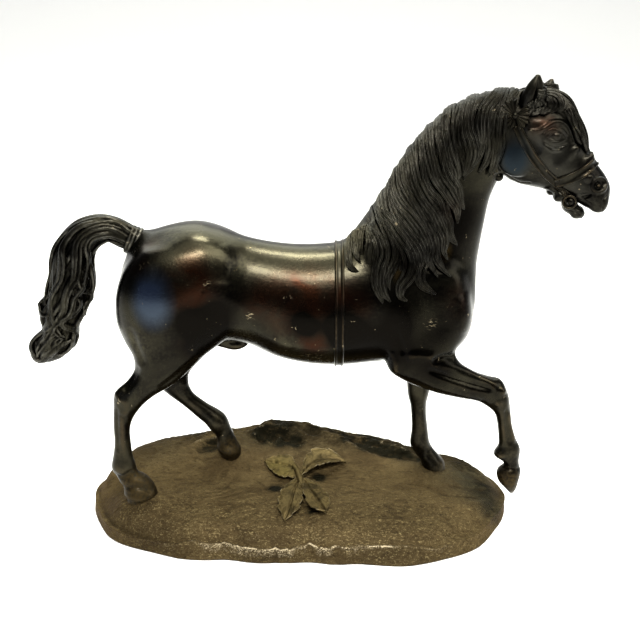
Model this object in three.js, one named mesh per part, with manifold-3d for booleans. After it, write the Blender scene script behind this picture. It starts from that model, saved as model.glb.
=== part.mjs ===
// A patinated bronze statuette of a bridled horse, walking with its near foreleg raised, on a cast base
// Millimetres, +Z up, +X towards the head, -Y towards the viewer, from the centre of the base's underside
import * as THREE from 'three';
import { mergeVertices } from 'three/addons/utils/BufferGeometryUtils.js';
import Module from 'manifold-3d';

const wasm = await Module();
wasm.setup();

// Driving dimensions
const BASE_HALF_LENGTH = 145.5;
const BASE_HALF_DEPTH = 72;
const BASE_MIDDLE_Y = 6;
const RIM_HEIGHT = 12;
const CROWN_RISE = 15;
const BANK_RISE = 14.5;
const ROCK_RISE = 10;
const SEAT_GAP = 0.3;
const HEAD_YAW = THREE.MathUtils.degToRad(12);
const POLL = { x: 132, y: -2 };
const GIRTH_FROM = 23.5;
const GIRTH_TO = 30.5;
const GIRTH_THICKNESS = 1.1;
const STRAP_HALF_WIDTH = 1.5;
const STRAP_THICKNESS = 1.4;
const NEAR_SIDE = -1;
const FAR_SIDE = 1;

// A section of a form is drawn across the side view, from its upper or back point to its lower or front one:
// [upper x, upper z, lower x, lower z, half width, middle y]
const TRUNK = [
  [-116, 167, -115.8, 152, 8, 0],
  [-111.3, 186, -112.5, 136, 18, 0],
  [-101, 200.5, -105, 127, 26, 0],
  [-86, 207.4, -88, 122, 30.5, 0],
  [-66, 210.8, -66, 123.5, 32, 0],
  [-48, 206.8, -50, 126, 30.5, 0],
  [-32, 200.6, -33, 125, 28.5, 0],
  [-12, 196.7, -13, 120, 30.5, 0],
  [8, 195.7, 8, 117, 32.5, 0],
  [30, 197.6, 30, 115.3, 32, 0],
  [50, 203, 50, 116.8, 29.5, 0],
  [70, 207, 70, 118.5, 28, 0],
  [90, 199, 91, 122.5, 26, 0],
  [104.5, 185, 107, 131, 20.5, 0],
  [111.8, 175, 112.6, 142, 12.5, 0],
  [115.3, 165, 115.3, 152, 6, 0],
];

const NECK = [
  [30, 190, 108, 146, 20, 0],
  [38.5, 207.5, 114.6, 168, 20.5, 0],
  [55, 231, 116.8, 190, 18, 0],
  [67.3, 253.7, 119.3, 209, 15, -0.5],
  [81.8, 271, 122.3, 227, 13, -1],
  [99, 285, 128, 240, 12, -1.5],
  [117, 291.5, 135, 243, 12, -2],
  [134, 294, 146, 250, 11, -2],
];

// The head's sections are in its own upright plane: x is then the distance forward of the poll
const SKULL = [
  [2, 288, -4, 262, 9, 0],
  [13, 289, -1.5, 242, 13, 0],
  [24, 287, 6, 236.5, 14.5, 0],
  [34, 280, 15, 234.5, 14, 0],
  [42, 268, 23.5, 233, 11.6, 0],
  [47.2, 257.5, 30.5, 231, 9.6, 0],
  [52.5, 251, 37.5, 229, 9, 0],
  [58.8, 243.5, 44, 225.5, 9.2, 0],
  [63, 236.5, 49.5, 222.5, 9, 0],
  [63.6, 229, 55, 220, 7.2, 0],
  [61.6, 222.5, 58.5, 219.6, 4, 0],
];

const LOWER_JAW = [
  [31, 238, 23, 233.5, 7.5, 0],
  [37.5, 231, 32.5, 227.5, 7, 0],
  [42.5, 226.5, 35.5, 220.5, 6.4, 0],
  [46.5, 222, 41, 217.2, 5.6, 0],
  [49.2, 219, 47, 215.2, 3.6, 0],
];

const EAR = [
  [4.2, 283, 18, 285.5, 3.8, 7],
  [6, 290.5, 18.6, 292, 3.8, 7.6],
  [9.4, 297.3, 18.4, 297.5, 2.8, 8],
  [14, 302.9, 16.2, 302.7, 0.8, 8.2],
];
const FAR_EAR_FORWARD = 4.6;
const FAR_EAR_DROP = 3;

const FORELOCK = [
  [-7, 293.4, -3, 280, 7, 0],
  [5, 294.6, 6, 280, 8, 0],
  [14, 293, 14, 280, 9, 0],
  [25.5, 292.3, 22, 279, 9.5, 0],
  [33.5, 288, 28, 274, 9, 0],
  [40, 277.6, 35, 268.5, 7, 0],
  [45.7, 267, 40.5, 261, 4.5, 0],
  [47.6, 258.5, 45.5, 255, 2, 0],
];

const NEAR_HIND = [
  [-97, 193, -54, 191, 9, -14],
  [-110.5, 172, -45, 169, 15, -17.5],
  [-114.5, 152, -47, 149, 15.5, -18],
  [-111, 138, -55.5, 133, 14, -18.5],
  [-105.5, 127, -67.5, 120, 11.5, -20],
  [-105.2, 117.5, -80, 108.5, 9.2, -21],
  [-110.5, 109.5, -93, 100.5, 7.6, -21.5],
  [-118.5, 102, -101, 94, 7, -22],
  [-120, 91, -108, 85, 6.2, -22],
  [-120.8, 79, -111, 76, 5, -22],
  [-121, 66, -111, 65, 4.7, -22],
  [-122.5, 57, -110.5, 57.5, 5.2, -22],
  [-124, 48.5, -109, 51, 6.4, -22],
  [-120.5, 41.5, -107.5, 45, 5.6, -22],
  [-118, 36, -102, 41.5, 7.2, -22],
  [-115.5, 30, -96.5, 33.5, 8.6, -22],
  [-113.5, 20, -94, 20, 9.2, -22],
];

const FAR_HIND = [
  [-97, 193, -50, 191, 9, 14],
  [-108, 172, -41, 169, 15, 17.5],
  [-107, 152, -43, 147, 15, 18],
  [-101, 135, -52, 129, 13.5, 18.5],
  [-98, 119, -65.5, 112.5, 11, 19],
  [-101, 106, -75.5, 101, 8.8, 19.5],
  [-103, 97, -77, 92.5, 7.2, 20],
  [-93, 86, -76, 88, 6.2, 20],
  [-80.8, 76, -73.2, 83.2, 5.2, 20],
  [-70.7, 66.5, -64.5, 76.2, 5, 20],
  [-62.5, 59, -56.2, 70.5, 6.2, 20],
  [-58.5, 52.5, -50, 61, 5.4, 20],
  [-57, 45.5, -46, 51.5, 6.8, 20],
  [-55, 37, -43, 42, 8, 20],
  [-53, 27, -42, 27, 8.2, 20],
];

const NEAR_FORE = [
  [60, 186, 104, 178, 10, -13],
  [56, 162, 109, 156, 12.5, -16],
  [57, 140, 105.5, 139, 12.5, -18.5],
  [58.5, 120.5, 101.5, 130, 11.5, -20.5],
  [68, 111.8, 104.5, 123, 10, -21.5],
  [88, 103.5, 110, 119, 8.6, -22],
  [104, 99.5, 116.5, 115.5, 7.6, -22],
  [117, 97, 124, 113, 7, -22],
  [125, 92.5, 132.2, 110.5, 7, -22],
  [129.5, 88, 137.2, 101, 6.8, -22],
  [131.5, 82, 139, 92, 5.8, -22],
  [133, 73, 140.6, 80, 4.9, -22],
  [133.5, 65, 144, 69.5, 5, -22],
  [130.8, 58, 147.3, 62, 6.1, -22],
  [138.2, 51.5, 147, 53, 5.1, -22],
  [133.8, 46, 148.6, 46, 6.8, -22],
  [134.8, 39, 147.5, 39, 7.4, -22],
  [140, 33, 146.3, 33.5, 5, -22],
  [143, 29.5, 144.5, 29.5, 1.8, -22],
];

const FAR_FORE = [
  [60, 186, 104, 178, 10, 13],
  [57, 162, 109, 156, 12.5, 16],
  [61, 140, 106, 139, 12.5, 18],
  [66, 124, 101, 124, 10.5, 19],
  [71, 112, 96, 112, 8.8, 19.5],
  [74, 102, 92.5, 102, 7.4, 20],
  [75.5, 93, 91.5, 93, 7, 20],
  [76.5, 84, 90.5, 85, 6.6, 20],
  [78.5, 76, 89, 77, 5.5, 20],
  [79.5, 67, 89.2, 68, 4.9, 20],
  [80, 57, 90.6, 57, 5, 20],
  [79.3, 46, 92, 48, 6, 20],
  [83, 38.5, 94.5, 42.5, 5.4, 20],
  [86.5, 34, 99, 37, 7, 20],
  [88, 28, 103.5, 30.5, 8.3, 20],
  [88.5, 18, 105, 18, 8.6, 20],
];

const TAIL = [
  [-88, 201.5, -97, 188, 6, 0],
  [-100, 206, -108, 189.5, 7.4, 0],
  [-111, 210.2, -115.5, 194.5, 7, 0],
  [-124, 214.4, -122, 198, 7.4, 0],
  [-138, 212, -128, 195.5, 8.5, 0],
  [-149.5, 203.5, -133, 187.5, 10, 0],
  [-157.5, 191, -133.5, 178, 11, 0],
  [-160.5, 177, -134, 168, 12, 0],
  [-163.5, 163, -137.5, 156.5, 12, 0],
  [-171, 150.5, -142.5, 145, 11, 0],
  [-169.5, 140, -146.5, 135, 10, 0],
  [-174.5, 128, -148.8, 126, 8.5, 0],
  [-179, 121, -155, 118, 6, 0],
  [-177, 114, -166, 114, 2.5, 0],
];

const SHEATH = [
  [-58, 136, -60, 128.5, 6, 0],
  [-49, 134, -50, 125.2, 5.5, 0],
  [-41, 132, -41, 123, 4, 0],
  [-36, 129, -36, 124, 2, 0],
];

// The mane falls on the near side. Each lock runs from the crest by two bends to its point: [x, z] four times
const MANE_LOCKS = [
  [39, 201, 33, 192, 35, 186, 39, 182],
  [47, 213, 55, 201, 49, 181, 56, 163],
  [50, 223, 59, 208, 65, 193, 52, 166],
  [55, 232, 64, 212, 75, 190, 66, 166],
  [61, 242, 69, 223, 83, 193, 86, 168],
  [68, 251, 70, 235, 86, 200, 95, 175],
  [76, 262, 74, 244, 90, 213, 99, 186],
  [85, 270, 78, 252, 91, 225, 101, 203],
  [93, 278, 82, 259, 86, 237, 98, 218],
  [103, 284, 90, 268, 89, 246, 97, 230],
  [113, 287, 98, 271, 95, 253, 102, 237],
  [124, 288, 112, 272, 108, 257, 107, 244],
];
const LOCK_HALF_WIDTH = 4;
const LOCK_THICKNESS = 2.2;
const TAIL_LOCKS = 7;
const TAIL_FULLNESS = 0.8;
const FLUTE_DEPTH = 0.12;
const FLUTE_SWAY = 0.45;
const FLUTE_WAVES = 0.9;
const FORELOCKS = 4;

// The wandering edge of the base, as waves round the plan: [count, depth as a share of the radius, phase]
const EDGE_WAVES = [
  [1, 0.016, 1.81],
  [2, 0.023, 2.77],
  [3, 0.014, -2.48],
  [4, 0.015, -1.66],
  [5, 0.012, -0.44],
  [6, 0.011, -0.24],
  [7, 0.015, 0.01],
  [9, 0.008, -0.01],
  [12, 0.008, -1.41],
  [16, 0.008, 2.25],
];

// A sprig of lobed leaves on the ground, each with its own stem end, point and half width
const LEAVES = [
  { stem: [0, 9], tip: [-27, 15], halfWidth: 11 },
  { stem: [0, 9], tip: [35, 15], halfWidth: 11.5 },
  { stem: [3, 7], tip: [-9, -52], halfWidth: 9.5 },
  { stem: [4, 7], tip: [20, -44], halfWidth: 9 },
];
const LEAF_LIFT = 3.4;

const smoothstep = (from, to, v) => THREE.MathUtils.smoothstep(v, from, to);

// Points between the given rows of numbers, on one smooth curve through them all
function between(rows, t) {
  const i = Math.min(Math.floor(t), rows.length - 2);
  const u = t - i;
  const at = (k) => rows[THREE.MathUtils.clamp(k, 0, rows.length - 1)];
  return rows[i].map((_, n) => {
    const [a, b, c, d] = [at(i - 1)[n], at(i)[n], at(i + 1)[n], at(i + 2)[n]];
    return b + 0.5 * u * (c - a + u * (2 * a - 5 * b + 4 * c - d + u * (3 * (b - c) + d - a)));
  });
}

// One closed skin over a row of rings, each end closed onto its middle
function skin(rings) {
  const sides = rings[0].length;
  const middle = (ring) => ring.reduce((sum, p) => sum.add(p), new THREE.Vector3()).divideScalar(sides);
  const points = [...rings.flat(), middle(rings[0]), middle(rings.at(-1))];
  const [firstCap, lastCap] = [points.length - 2, points.length - 1];
  const index = [];
  for (let k = 0; k < sides; k++) {
    const next = (k + 1) % sides;
    for (let r = 0; r + 1 < rings.length; r++) {
      const [a, b, c, d] = [r * sides + k, r * sides + next, (r + 1) * sides + next, (r + 1) * sides + k];
      index.push(a, b, c, a, c, d);
    }
    const last = (rings.length - 1) * sides;
    index.push(firstCap, next, k, lastCap, last + k, last + next);
  }
  let volume = 0;
  for (let i = 0; i < index.length; i += 3) {
    const [a, b, c] = [points[index[i]], points[index[i + 1]], points[index[i + 2]]];
    volume += a.dot(new THREE.Vector3().crossVectors(b, c));
  }
  if (volume < 0) index.reverse();
  const geometry = new THREE.BufferGeometry().setFromPoints(points);
  geometry.setIndex(index);
  return geometry;
}

function sectionRing([ux, uz, lx, lz, halfWidth, y], { sides, egg, grow, flutes }, turn) {
  const reach = Math.hypot(ux - lx, uz - lz) / 2;
  const stretch = (reach + grow) / reach;
  return Array.from({ length: sides }, (_, i) => {
    const share = i / sides;
    const swell = flutes ? 1 - FLUTE_DEPTH + FLUTE_DEPTH * Math.cos(2 * Math.PI * flutes * share) : 1;
    const angle = 2 * Math.PI * share + turn;
    const up = Math.cos(angle) * swell;
    const side = Math.sin(angle) * swell * (halfWidth + grow) * (1 - egg * up);
    return new THREE.Vector3(
      (ux + lx) / 2 + ((ux - lx) / 2) * up * stretch,
      y + side,
      (uz + lz) / 2 + ((uz - lz) / 2) * up * stretch,
    );
  });
}

// A form lofted through its sections; from and to are counted in sections. Flutes run along it and sway.
function loft(sections, options = {}) {
  const { steps, from, to, ...shape } = {
    sides: 12, steps: 1, egg: 0, grow: 0, flutes: 0, from: 0, to: sections.length - 1, ...options,
  };
  const count = Math.max(1, Math.round((to - from) * steps));
  const rings = [];
  for (let i = 0; i <= count; i++) {
    const at = from + ((to - from) * i) / count;
    const turn = shape.flutes ? FLUTE_SWAY * Math.sin(FLUTE_WAVES * at) : 0;
    rings.push(sectionRing(between(sections, at), shape, turn));
  }
  return skin(rings);
}

// Turns a form drawn in the head's own plane to where the head looks
function onHead(geometry) {
  return geometry.rotateZ(-HEAD_YAW).translate(POLL.x, POLL.y, 0);
}

function toSolid(geometry) {
  const bare = geometry.clone();
  for (const name of Object.keys(bare.attributes)) {
    if (name !== 'position') bare.deleteAttribute(name);
  }
  const merged = mergeVertices(bare, 1e-4);
  return new wasm.Manifold(new wasm.Mesh({
    numProp: 3,
    vertProperties: Float32Array.from(merged.attributes.position.array),
    triVerts: Uint32Array.from(merged.index.array),
  }));
}

function toGeometry(solid) {
  const mesh = solid.getMesh();
  const geometry = new THREE.BufferGeometry();
  geometry.setAttribute('position', new THREE.BufferAttribute(new Float32Array(mesh.vertProperties), 3));
  geometry.setIndex([...mesh.triVerts]);
  return geometry;
}

const joined = (geometries) => geometries.map(toSolid).reduce((all, next) => all.add(next));

// Fills the pockets that are sealed between joined forms
const withoutPockets = (solid) => solid.decompose().reduce((a, b) => (b.volume() > a.volume() ? b : a));

// Finds the outer surface of the given forms along a line of sight from one side
function surfaceFinder(geometries) {
  const bothSides = new THREE.MeshBasicMaterial({ side: THREE.DoubleSide });
  const forms = geometries.map((geometry) => new THREE.Mesh(geometry, bothSides));
  const ray = new THREE.Raycaster();
  return (x, z, side, fallbackY = 0) => {
    const origin = new THREE.Vector3(x, side * 200, z);
    ray.set(origin, new THREE.Vector3(0, -side, 0));
    const hit = ray.intersectObjects(forms)[0];
    return hit ? hit.point : new THREE.Vector3(x, fallbackY, z);
  };
}

// A flat tapering strand along a path: the width lies across the path, the thickness towards `outward`
function strand(path, widthAt, thicknessAt, outward, sides = 4) {
  const rings = path.map((p, i) => {
    const [before, after] = [path[Math.max(i - 1, 0)], path[Math.min(i + 1, path.length - 1)]];
    const along = new THREE.Vector3().subVectors(after, before).normalize();
    const across = new THREE.Vector3().crossVectors(along, outward(p)).normalize();
    const out = new THREE.Vector3().crossVectors(across, along);
    const t = i / (path.length - 1);
    return Array.from({ length: sides }, (_, k) => {
      const angle = (2 * Math.PI * k) / sides;
      return p.clone()
        .addScaledVector(across, Math.cos(angle) * widthAt(t))
        .addScaledVector(out, Math.sin(angle) * thicknessAt(t));
    });
  });
  return skin(rings);
}

const towards = (side) => () => new THREE.Vector3(0, side, 0);
const taper = (t) => 0.25 + 0.75 * Math.sin(Math.PI * Math.min(1, 0.2 + 0.78 * t));

function maneLocks(findSurface) {
  const stations = 6;
  return MANE_LOCKS.map((ends, n) => {
    const points = [0, 2, 4, 6].map((k) => new THREE.Vector3(ends[k], 0, ends[k + 1]));
    const path = new THREE.CatmullRomCurve3(points).getPoints(stations).map(({ x, z }) => {
      const point = findSurface(x, z, NEAR_SIDE, POLL.y);
      point.y -= 0.8 + (n % 2) * 0.6;
      return point;
    });
    const [width, thickness] = [LOCK_HALF_WIDTH, LOCK_THICKNESS];
    return strand(path, (t) => width * taper(t), (t) => thickness * taper(t), towards(NEAR_SIDE));
  });
}

// Locks that lie over the forelock, in the head's own plane
function forelocks() {
  const stations = 4;
  return Array.from({ length: FORELOCKS }, (_, n) => {
    const spread = n / (FORELOCKS - 1) - 0.5;
    const path = [];
    for (let i = 0; i <= stations; i++) {
      const at = 1.6 + (4.6 - Math.abs(spread) * 2) * (i / stations);
      const [ux, uz, lx, lz, halfWidth] = between(FORELOCK, at);
      const angle = spread * 2.6 - 0.3;
      const up = Math.cos(angle);
      const side = Math.sin(angle) * halfWidth;
      const [x, z] = [(ux + lx) / 2 + ((ux - lx) / 2) * up, (uz + lz) / 2 + ((uz - lz) / 2) * up];
      path.push(new THREE.Vector3(x, side, z));
    }
    const outward = () => new THREE.Vector3(0.7, 2 * spread, 0.7).normalize();
    return strand(path, (t) => 3 * taper(t), (t) => 1.6 * taper(t), outward);
  });
}

// A ribbon bow of radiating pleats where the browband meets the cheekpiece
function bow(x, z, side) {
  const pleats = 9;
  const surface = side * 11.5;
  const outer = [];
  const inner = [];
  for (let i = 0; i < 2 * pleats; i++) {
    const angle = (Math.PI * i) / pleats;
    const [across, up] = [Math.cos(angle), Math.sin(angle)];
    const radius = i % 2 ? 6.2 : 8.4;
    outer.push(new THREE.Vector3(x + radius * across, surface + side * 0.6, z + radius * 0.85 * up));
    inner.push(new THREE.Vector3(x + 6 * across, surface - side * 4, z + 5 * up));
  }
  const rings = [inner, outer, outer.map((p) => new THREE.Vector3(x, surface + side * 2.4, z).lerp(p, 0.3))];
  return skin(rings);
}

// The bridle on the skull: a noseband, and on each side cheekpiece, throat latch, bit strap, bit ring and bow
function bridle(skull) {
  const findSurface = surfaceFinder([skull]);
  const strap = (ends, side, halfWidth) => {
    const stations = 4;
    const path = [];
    for (let i = 0; i <= stations; i++) {
      const [x, z] = between(ends, (i / stations) * (ends.length - 1));
      path.push(findSurface(x, z, side, side * 7));
    }
    return strand(path, () => halfWidth, () => STRAP_THICKNESS, towards(side));
  };
  const pieces = [loft(SKULL, { sides: 12, steps: 2, from: 5.3, to: 6.1, grow: 1 })];
  for (const side of [NEAR_SIDE, FAR_SIDE]) {
    pieces.push(strap([[7, 272], [15, 258], [24, 244], [32, 238]], side, STRAP_HALF_WIDTH * 1.6));
    pieces.push(strap([[0, 272], [-3, 257], [-4, 242]], side, STRAP_HALF_WIDTH));
    pieces.push(strap([[31, 239], [37, 235], [43, 231.5]], side, STRAP_HALF_WIDTH * 0.8));
    const bitRing = new THREE.TorusGeometry(3.2, 1.1, 4, 8).rotateX(Math.PI / 2);
    pieces.push(bitRing.translate(38.7, side * 7.4, 225.6));
    pieces.push(bow(0, 280, side));
    pieces.push(strap([[13, 272.5], [21, 276], [29, 275], [37, 265]], side, STRAP_HALF_WIDTH * 0.9));
    pieces.push(new THREE.SphereGeometry(2.9, 6, 4).scale(1.2, 0.7, 1).translate(27, side * 13.2, 268));
  }
  pieces.push(new THREE.SphereGeometry(2.8, 6, 4).translate(-4.9, 0, 240.4));
  pieces.push(new THREE.SphereGeometry(2.8, 6, 4).translate(29.5, 0, 232));
  return pieces;
}

const nostril = (side) => new THREE.SphereGeometry(2.3, 6, 4).translate(57, side * 9.6, 237);
const nostrils = () => [nostril(NEAR_SIDE), nostril(FAR_SIDE)];

// The plan of the base, an oval with a wandering edge, as a distance from its middle
function planRadius(angle) {
  const along = Math.abs(Math.cos(angle) / BASE_HALF_LENGTH);
  const across = Math.abs(Math.sin(angle) / BASE_HALF_DEPTH);
  const oval = (along ** 2.2 + across ** 2.2) ** (-1 / 2.2);
  const waves = EDGE_WAVES.map(([count, depth, phase]) => depth * Math.sin(count * angle + phase));
  return oval * waves.reduce((sum, wave) => sum + wave, 1);
}

// Height of the modelled ground: a low crown, a bank rising along the back and a rock on it
function groundHeight(x, y) {
  const share = Math.min(1, Math.hypot(x, y - BASE_MIDDLE_Y) / planRadius(Math.atan2(y - BASE_MIDDLE_Y, x)));
  const crown = (CROWN_RISE - 0.02 * x) * (1 - share ** 6);
  const bank = BANK_RISE * smoothstep(-8, 50, y) * Math.exp(-(((x + 10) / (x < -10 ? 400 : 120)) ** 2));
  const rock = ROCK_RISE * Math.exp(-(((x + 20) / (x < -20 ? 14 : 34)) ** 2) - ((y - 50) / 11) ** 2);
  return RIM_HEIGHT + crown + bank + rock;
}

function baseBody() {
  const around = 58;
  const shares = [0.985, 0.93, 0.84, 0.72, 0.56, 0.36, 0.16];
  const ring = (share, height) => Array.from({ length: around }, (_, i) => {
    const angle = (2 * Math.PI * i) / around;
    const radius = planRadius(angle) * share;
    const [x, y] = [radius * Math.cos(angle), BASE_MIDDLE_Y + radius * Math.sin(angle)];
    return new THREE.Vector3(x, y, height ?? groundHeight(x, y));
  });
  const edge = ring(1).map((p) => p.setZ(p.z * 0.72));
  return skin([ring(0.985, 0), edge, ...shares.map((share) => ring(share))]);
}

// A leaf lies over the ground, raised along its midrib, its edge cut into lobes
function leaf({ stem, tip, halfWidth }) {
  const stations = 7;
  const [dx, dy] = [tip[0] - stem[0], tip[1] - stem[1]];
  const length = Math.hypot(dx, dy);
  const rings = [];
  for (let i = 0; i <= stations; i++) {
    const t = i / stations;
    const notch = 1 - (i % 2) * 0.18;
    const width = Math.max(0.8, halfWidth * Math.sin(Math.PI * (0.1 + 0.88 * t ** 0.8)) * notch);
    const upper = [];
    const lower = [];
    for (const s of [-1, -0.5, 0, 0.5, 1]) {
      const x = stem[0] + dx * t - (dy / length) * s * width;
      const y = stem[1] + dy * t + (dx / length) * s * width;
      const rise = LEAF_LIFT * (1 - 0.6 * Math.abs(s)) * (1 - 0.4 * t) + 0.8;
      upper.push(new THREE.Vector3(x, y, groundHeight(x, y) + rise));
      lower.unshift(new THREE.Vector3(x, y, groundHeight(x, y) - 2));
    }
    rings.push([...upper, ...lower]);
  }
  return skin(rings);
}

function makeHorse(base) {
  const trunk = loft(TRUNK, { sides: 16, egg: 0.1 });
  const neck = loft(NECK, { sides: 12, steps: 1.5 });
  const shoulder = loft(NEAR_FORE, { sides: 12, to: 3 });
  const flatSkull = loft(SKULL, { sides: 12, steps: 1.2 });
  const hair = [loft(FORELOCK, { sides: 8 }), ...forelocks()];
  const head = [flatSkull, loft(LOWER_JAW, { sides: 8 }), ...hair, ...bridle(flatSkull)];
  for (const side of [NEAR_SIDE, FAR_SIDE]) {
    const ear = loft(EAR.map((row) => row.with(5, row[5] * side)), { sides: 8 });
    head.push(side === FAR_SIDE ? ear.translate(FAR_EAR_FORWARD, 0, -FAR_EAR_DROP) : ear);
  }
  const onTrunk = (x) => 8 + (x - TRUNK[8][0]) / (TRUNK[9][0] - TRUNK[8][0]);
  const belt = { from: onTrunk(GIRTH_FROM), to: onTrunk(GIRTH_TO), grow: GIRTH_THICKNESS };
  const girth = loft(TRUNK, { sides: 16, steps: 3, egg: 0.1, ...belt });
  const legs = [NEAR_HIND, FAR_HIND, NEAR_FORE, FAR_FORE].map((sections) => loft(sections, { sides: 10 }));
  const tail = loft(TAIL, { sides: 3 * TAIL_LOCKS, flutes: TAIL_LOCKS, grow: TAIL_FULLNESS });
  const mane = maneLocks(surfaceFinder([trunk, neck, shoulder]));
  const body = [trunk, neck, ...legs, loft(SHEATH, { sides: 8 }), girth, tail, ...mane];
  const whole = joined([...body, ...head.map(onHead)]);
  const cuts = [...nostrils().map(onHead), base.clone().translate(0, 0, SEAT_GAP)];
  return withoutPockets(cuts.map(toSolid).reduce((solid, cut) => solid.subtract(cut), whole));
}

function makeBase() {
  return toGeometry(withoutPockets(joined([baseBody(), ...LEAVES.map(leaf)])));
}

const darkBronze = new THREE.MeshStandardMaterial({ color: 0x2a1f18, roughness: 0.34, metalness: 0.85 });
const earthBronze = new THREE.MeshStandardMaterial({ color: 0x5a4a33, roughness: 0.55, metalness: 0.7 });

const group = new THREE.Group();
const base = makeBase();
const baseMesh = new THREE.Mesh(base, earthBronze);
baseMesh.name = 'ground_base';
const horseMesh = new THREE.Mesh(toGeometry(makeHorse(base)), darkBronze);
horseMesh.name = 'horse';
group.add(baseMesh, horseMesh);

export default group;
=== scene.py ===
import math
import bpy
import numpy as np
import openvdb
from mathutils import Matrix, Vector


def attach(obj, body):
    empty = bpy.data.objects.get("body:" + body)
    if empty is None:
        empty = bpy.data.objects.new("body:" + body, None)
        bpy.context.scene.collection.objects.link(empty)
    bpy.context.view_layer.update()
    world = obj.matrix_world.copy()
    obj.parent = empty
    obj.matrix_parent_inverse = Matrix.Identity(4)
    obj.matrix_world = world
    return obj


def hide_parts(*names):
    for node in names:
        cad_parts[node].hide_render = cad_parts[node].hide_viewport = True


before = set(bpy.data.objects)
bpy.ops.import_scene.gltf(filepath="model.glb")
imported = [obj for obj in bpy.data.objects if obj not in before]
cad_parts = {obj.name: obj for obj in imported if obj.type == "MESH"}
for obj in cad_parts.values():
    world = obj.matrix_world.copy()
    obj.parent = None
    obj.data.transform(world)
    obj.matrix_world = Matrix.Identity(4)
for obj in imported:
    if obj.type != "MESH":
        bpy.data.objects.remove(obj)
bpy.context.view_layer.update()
print("frame loaded:", sorted(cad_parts))

# Everything below is drawn in millimetres and turned into metres when a piece is made
metre = 0.001
nearSide, farSide = -1, 1

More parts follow.
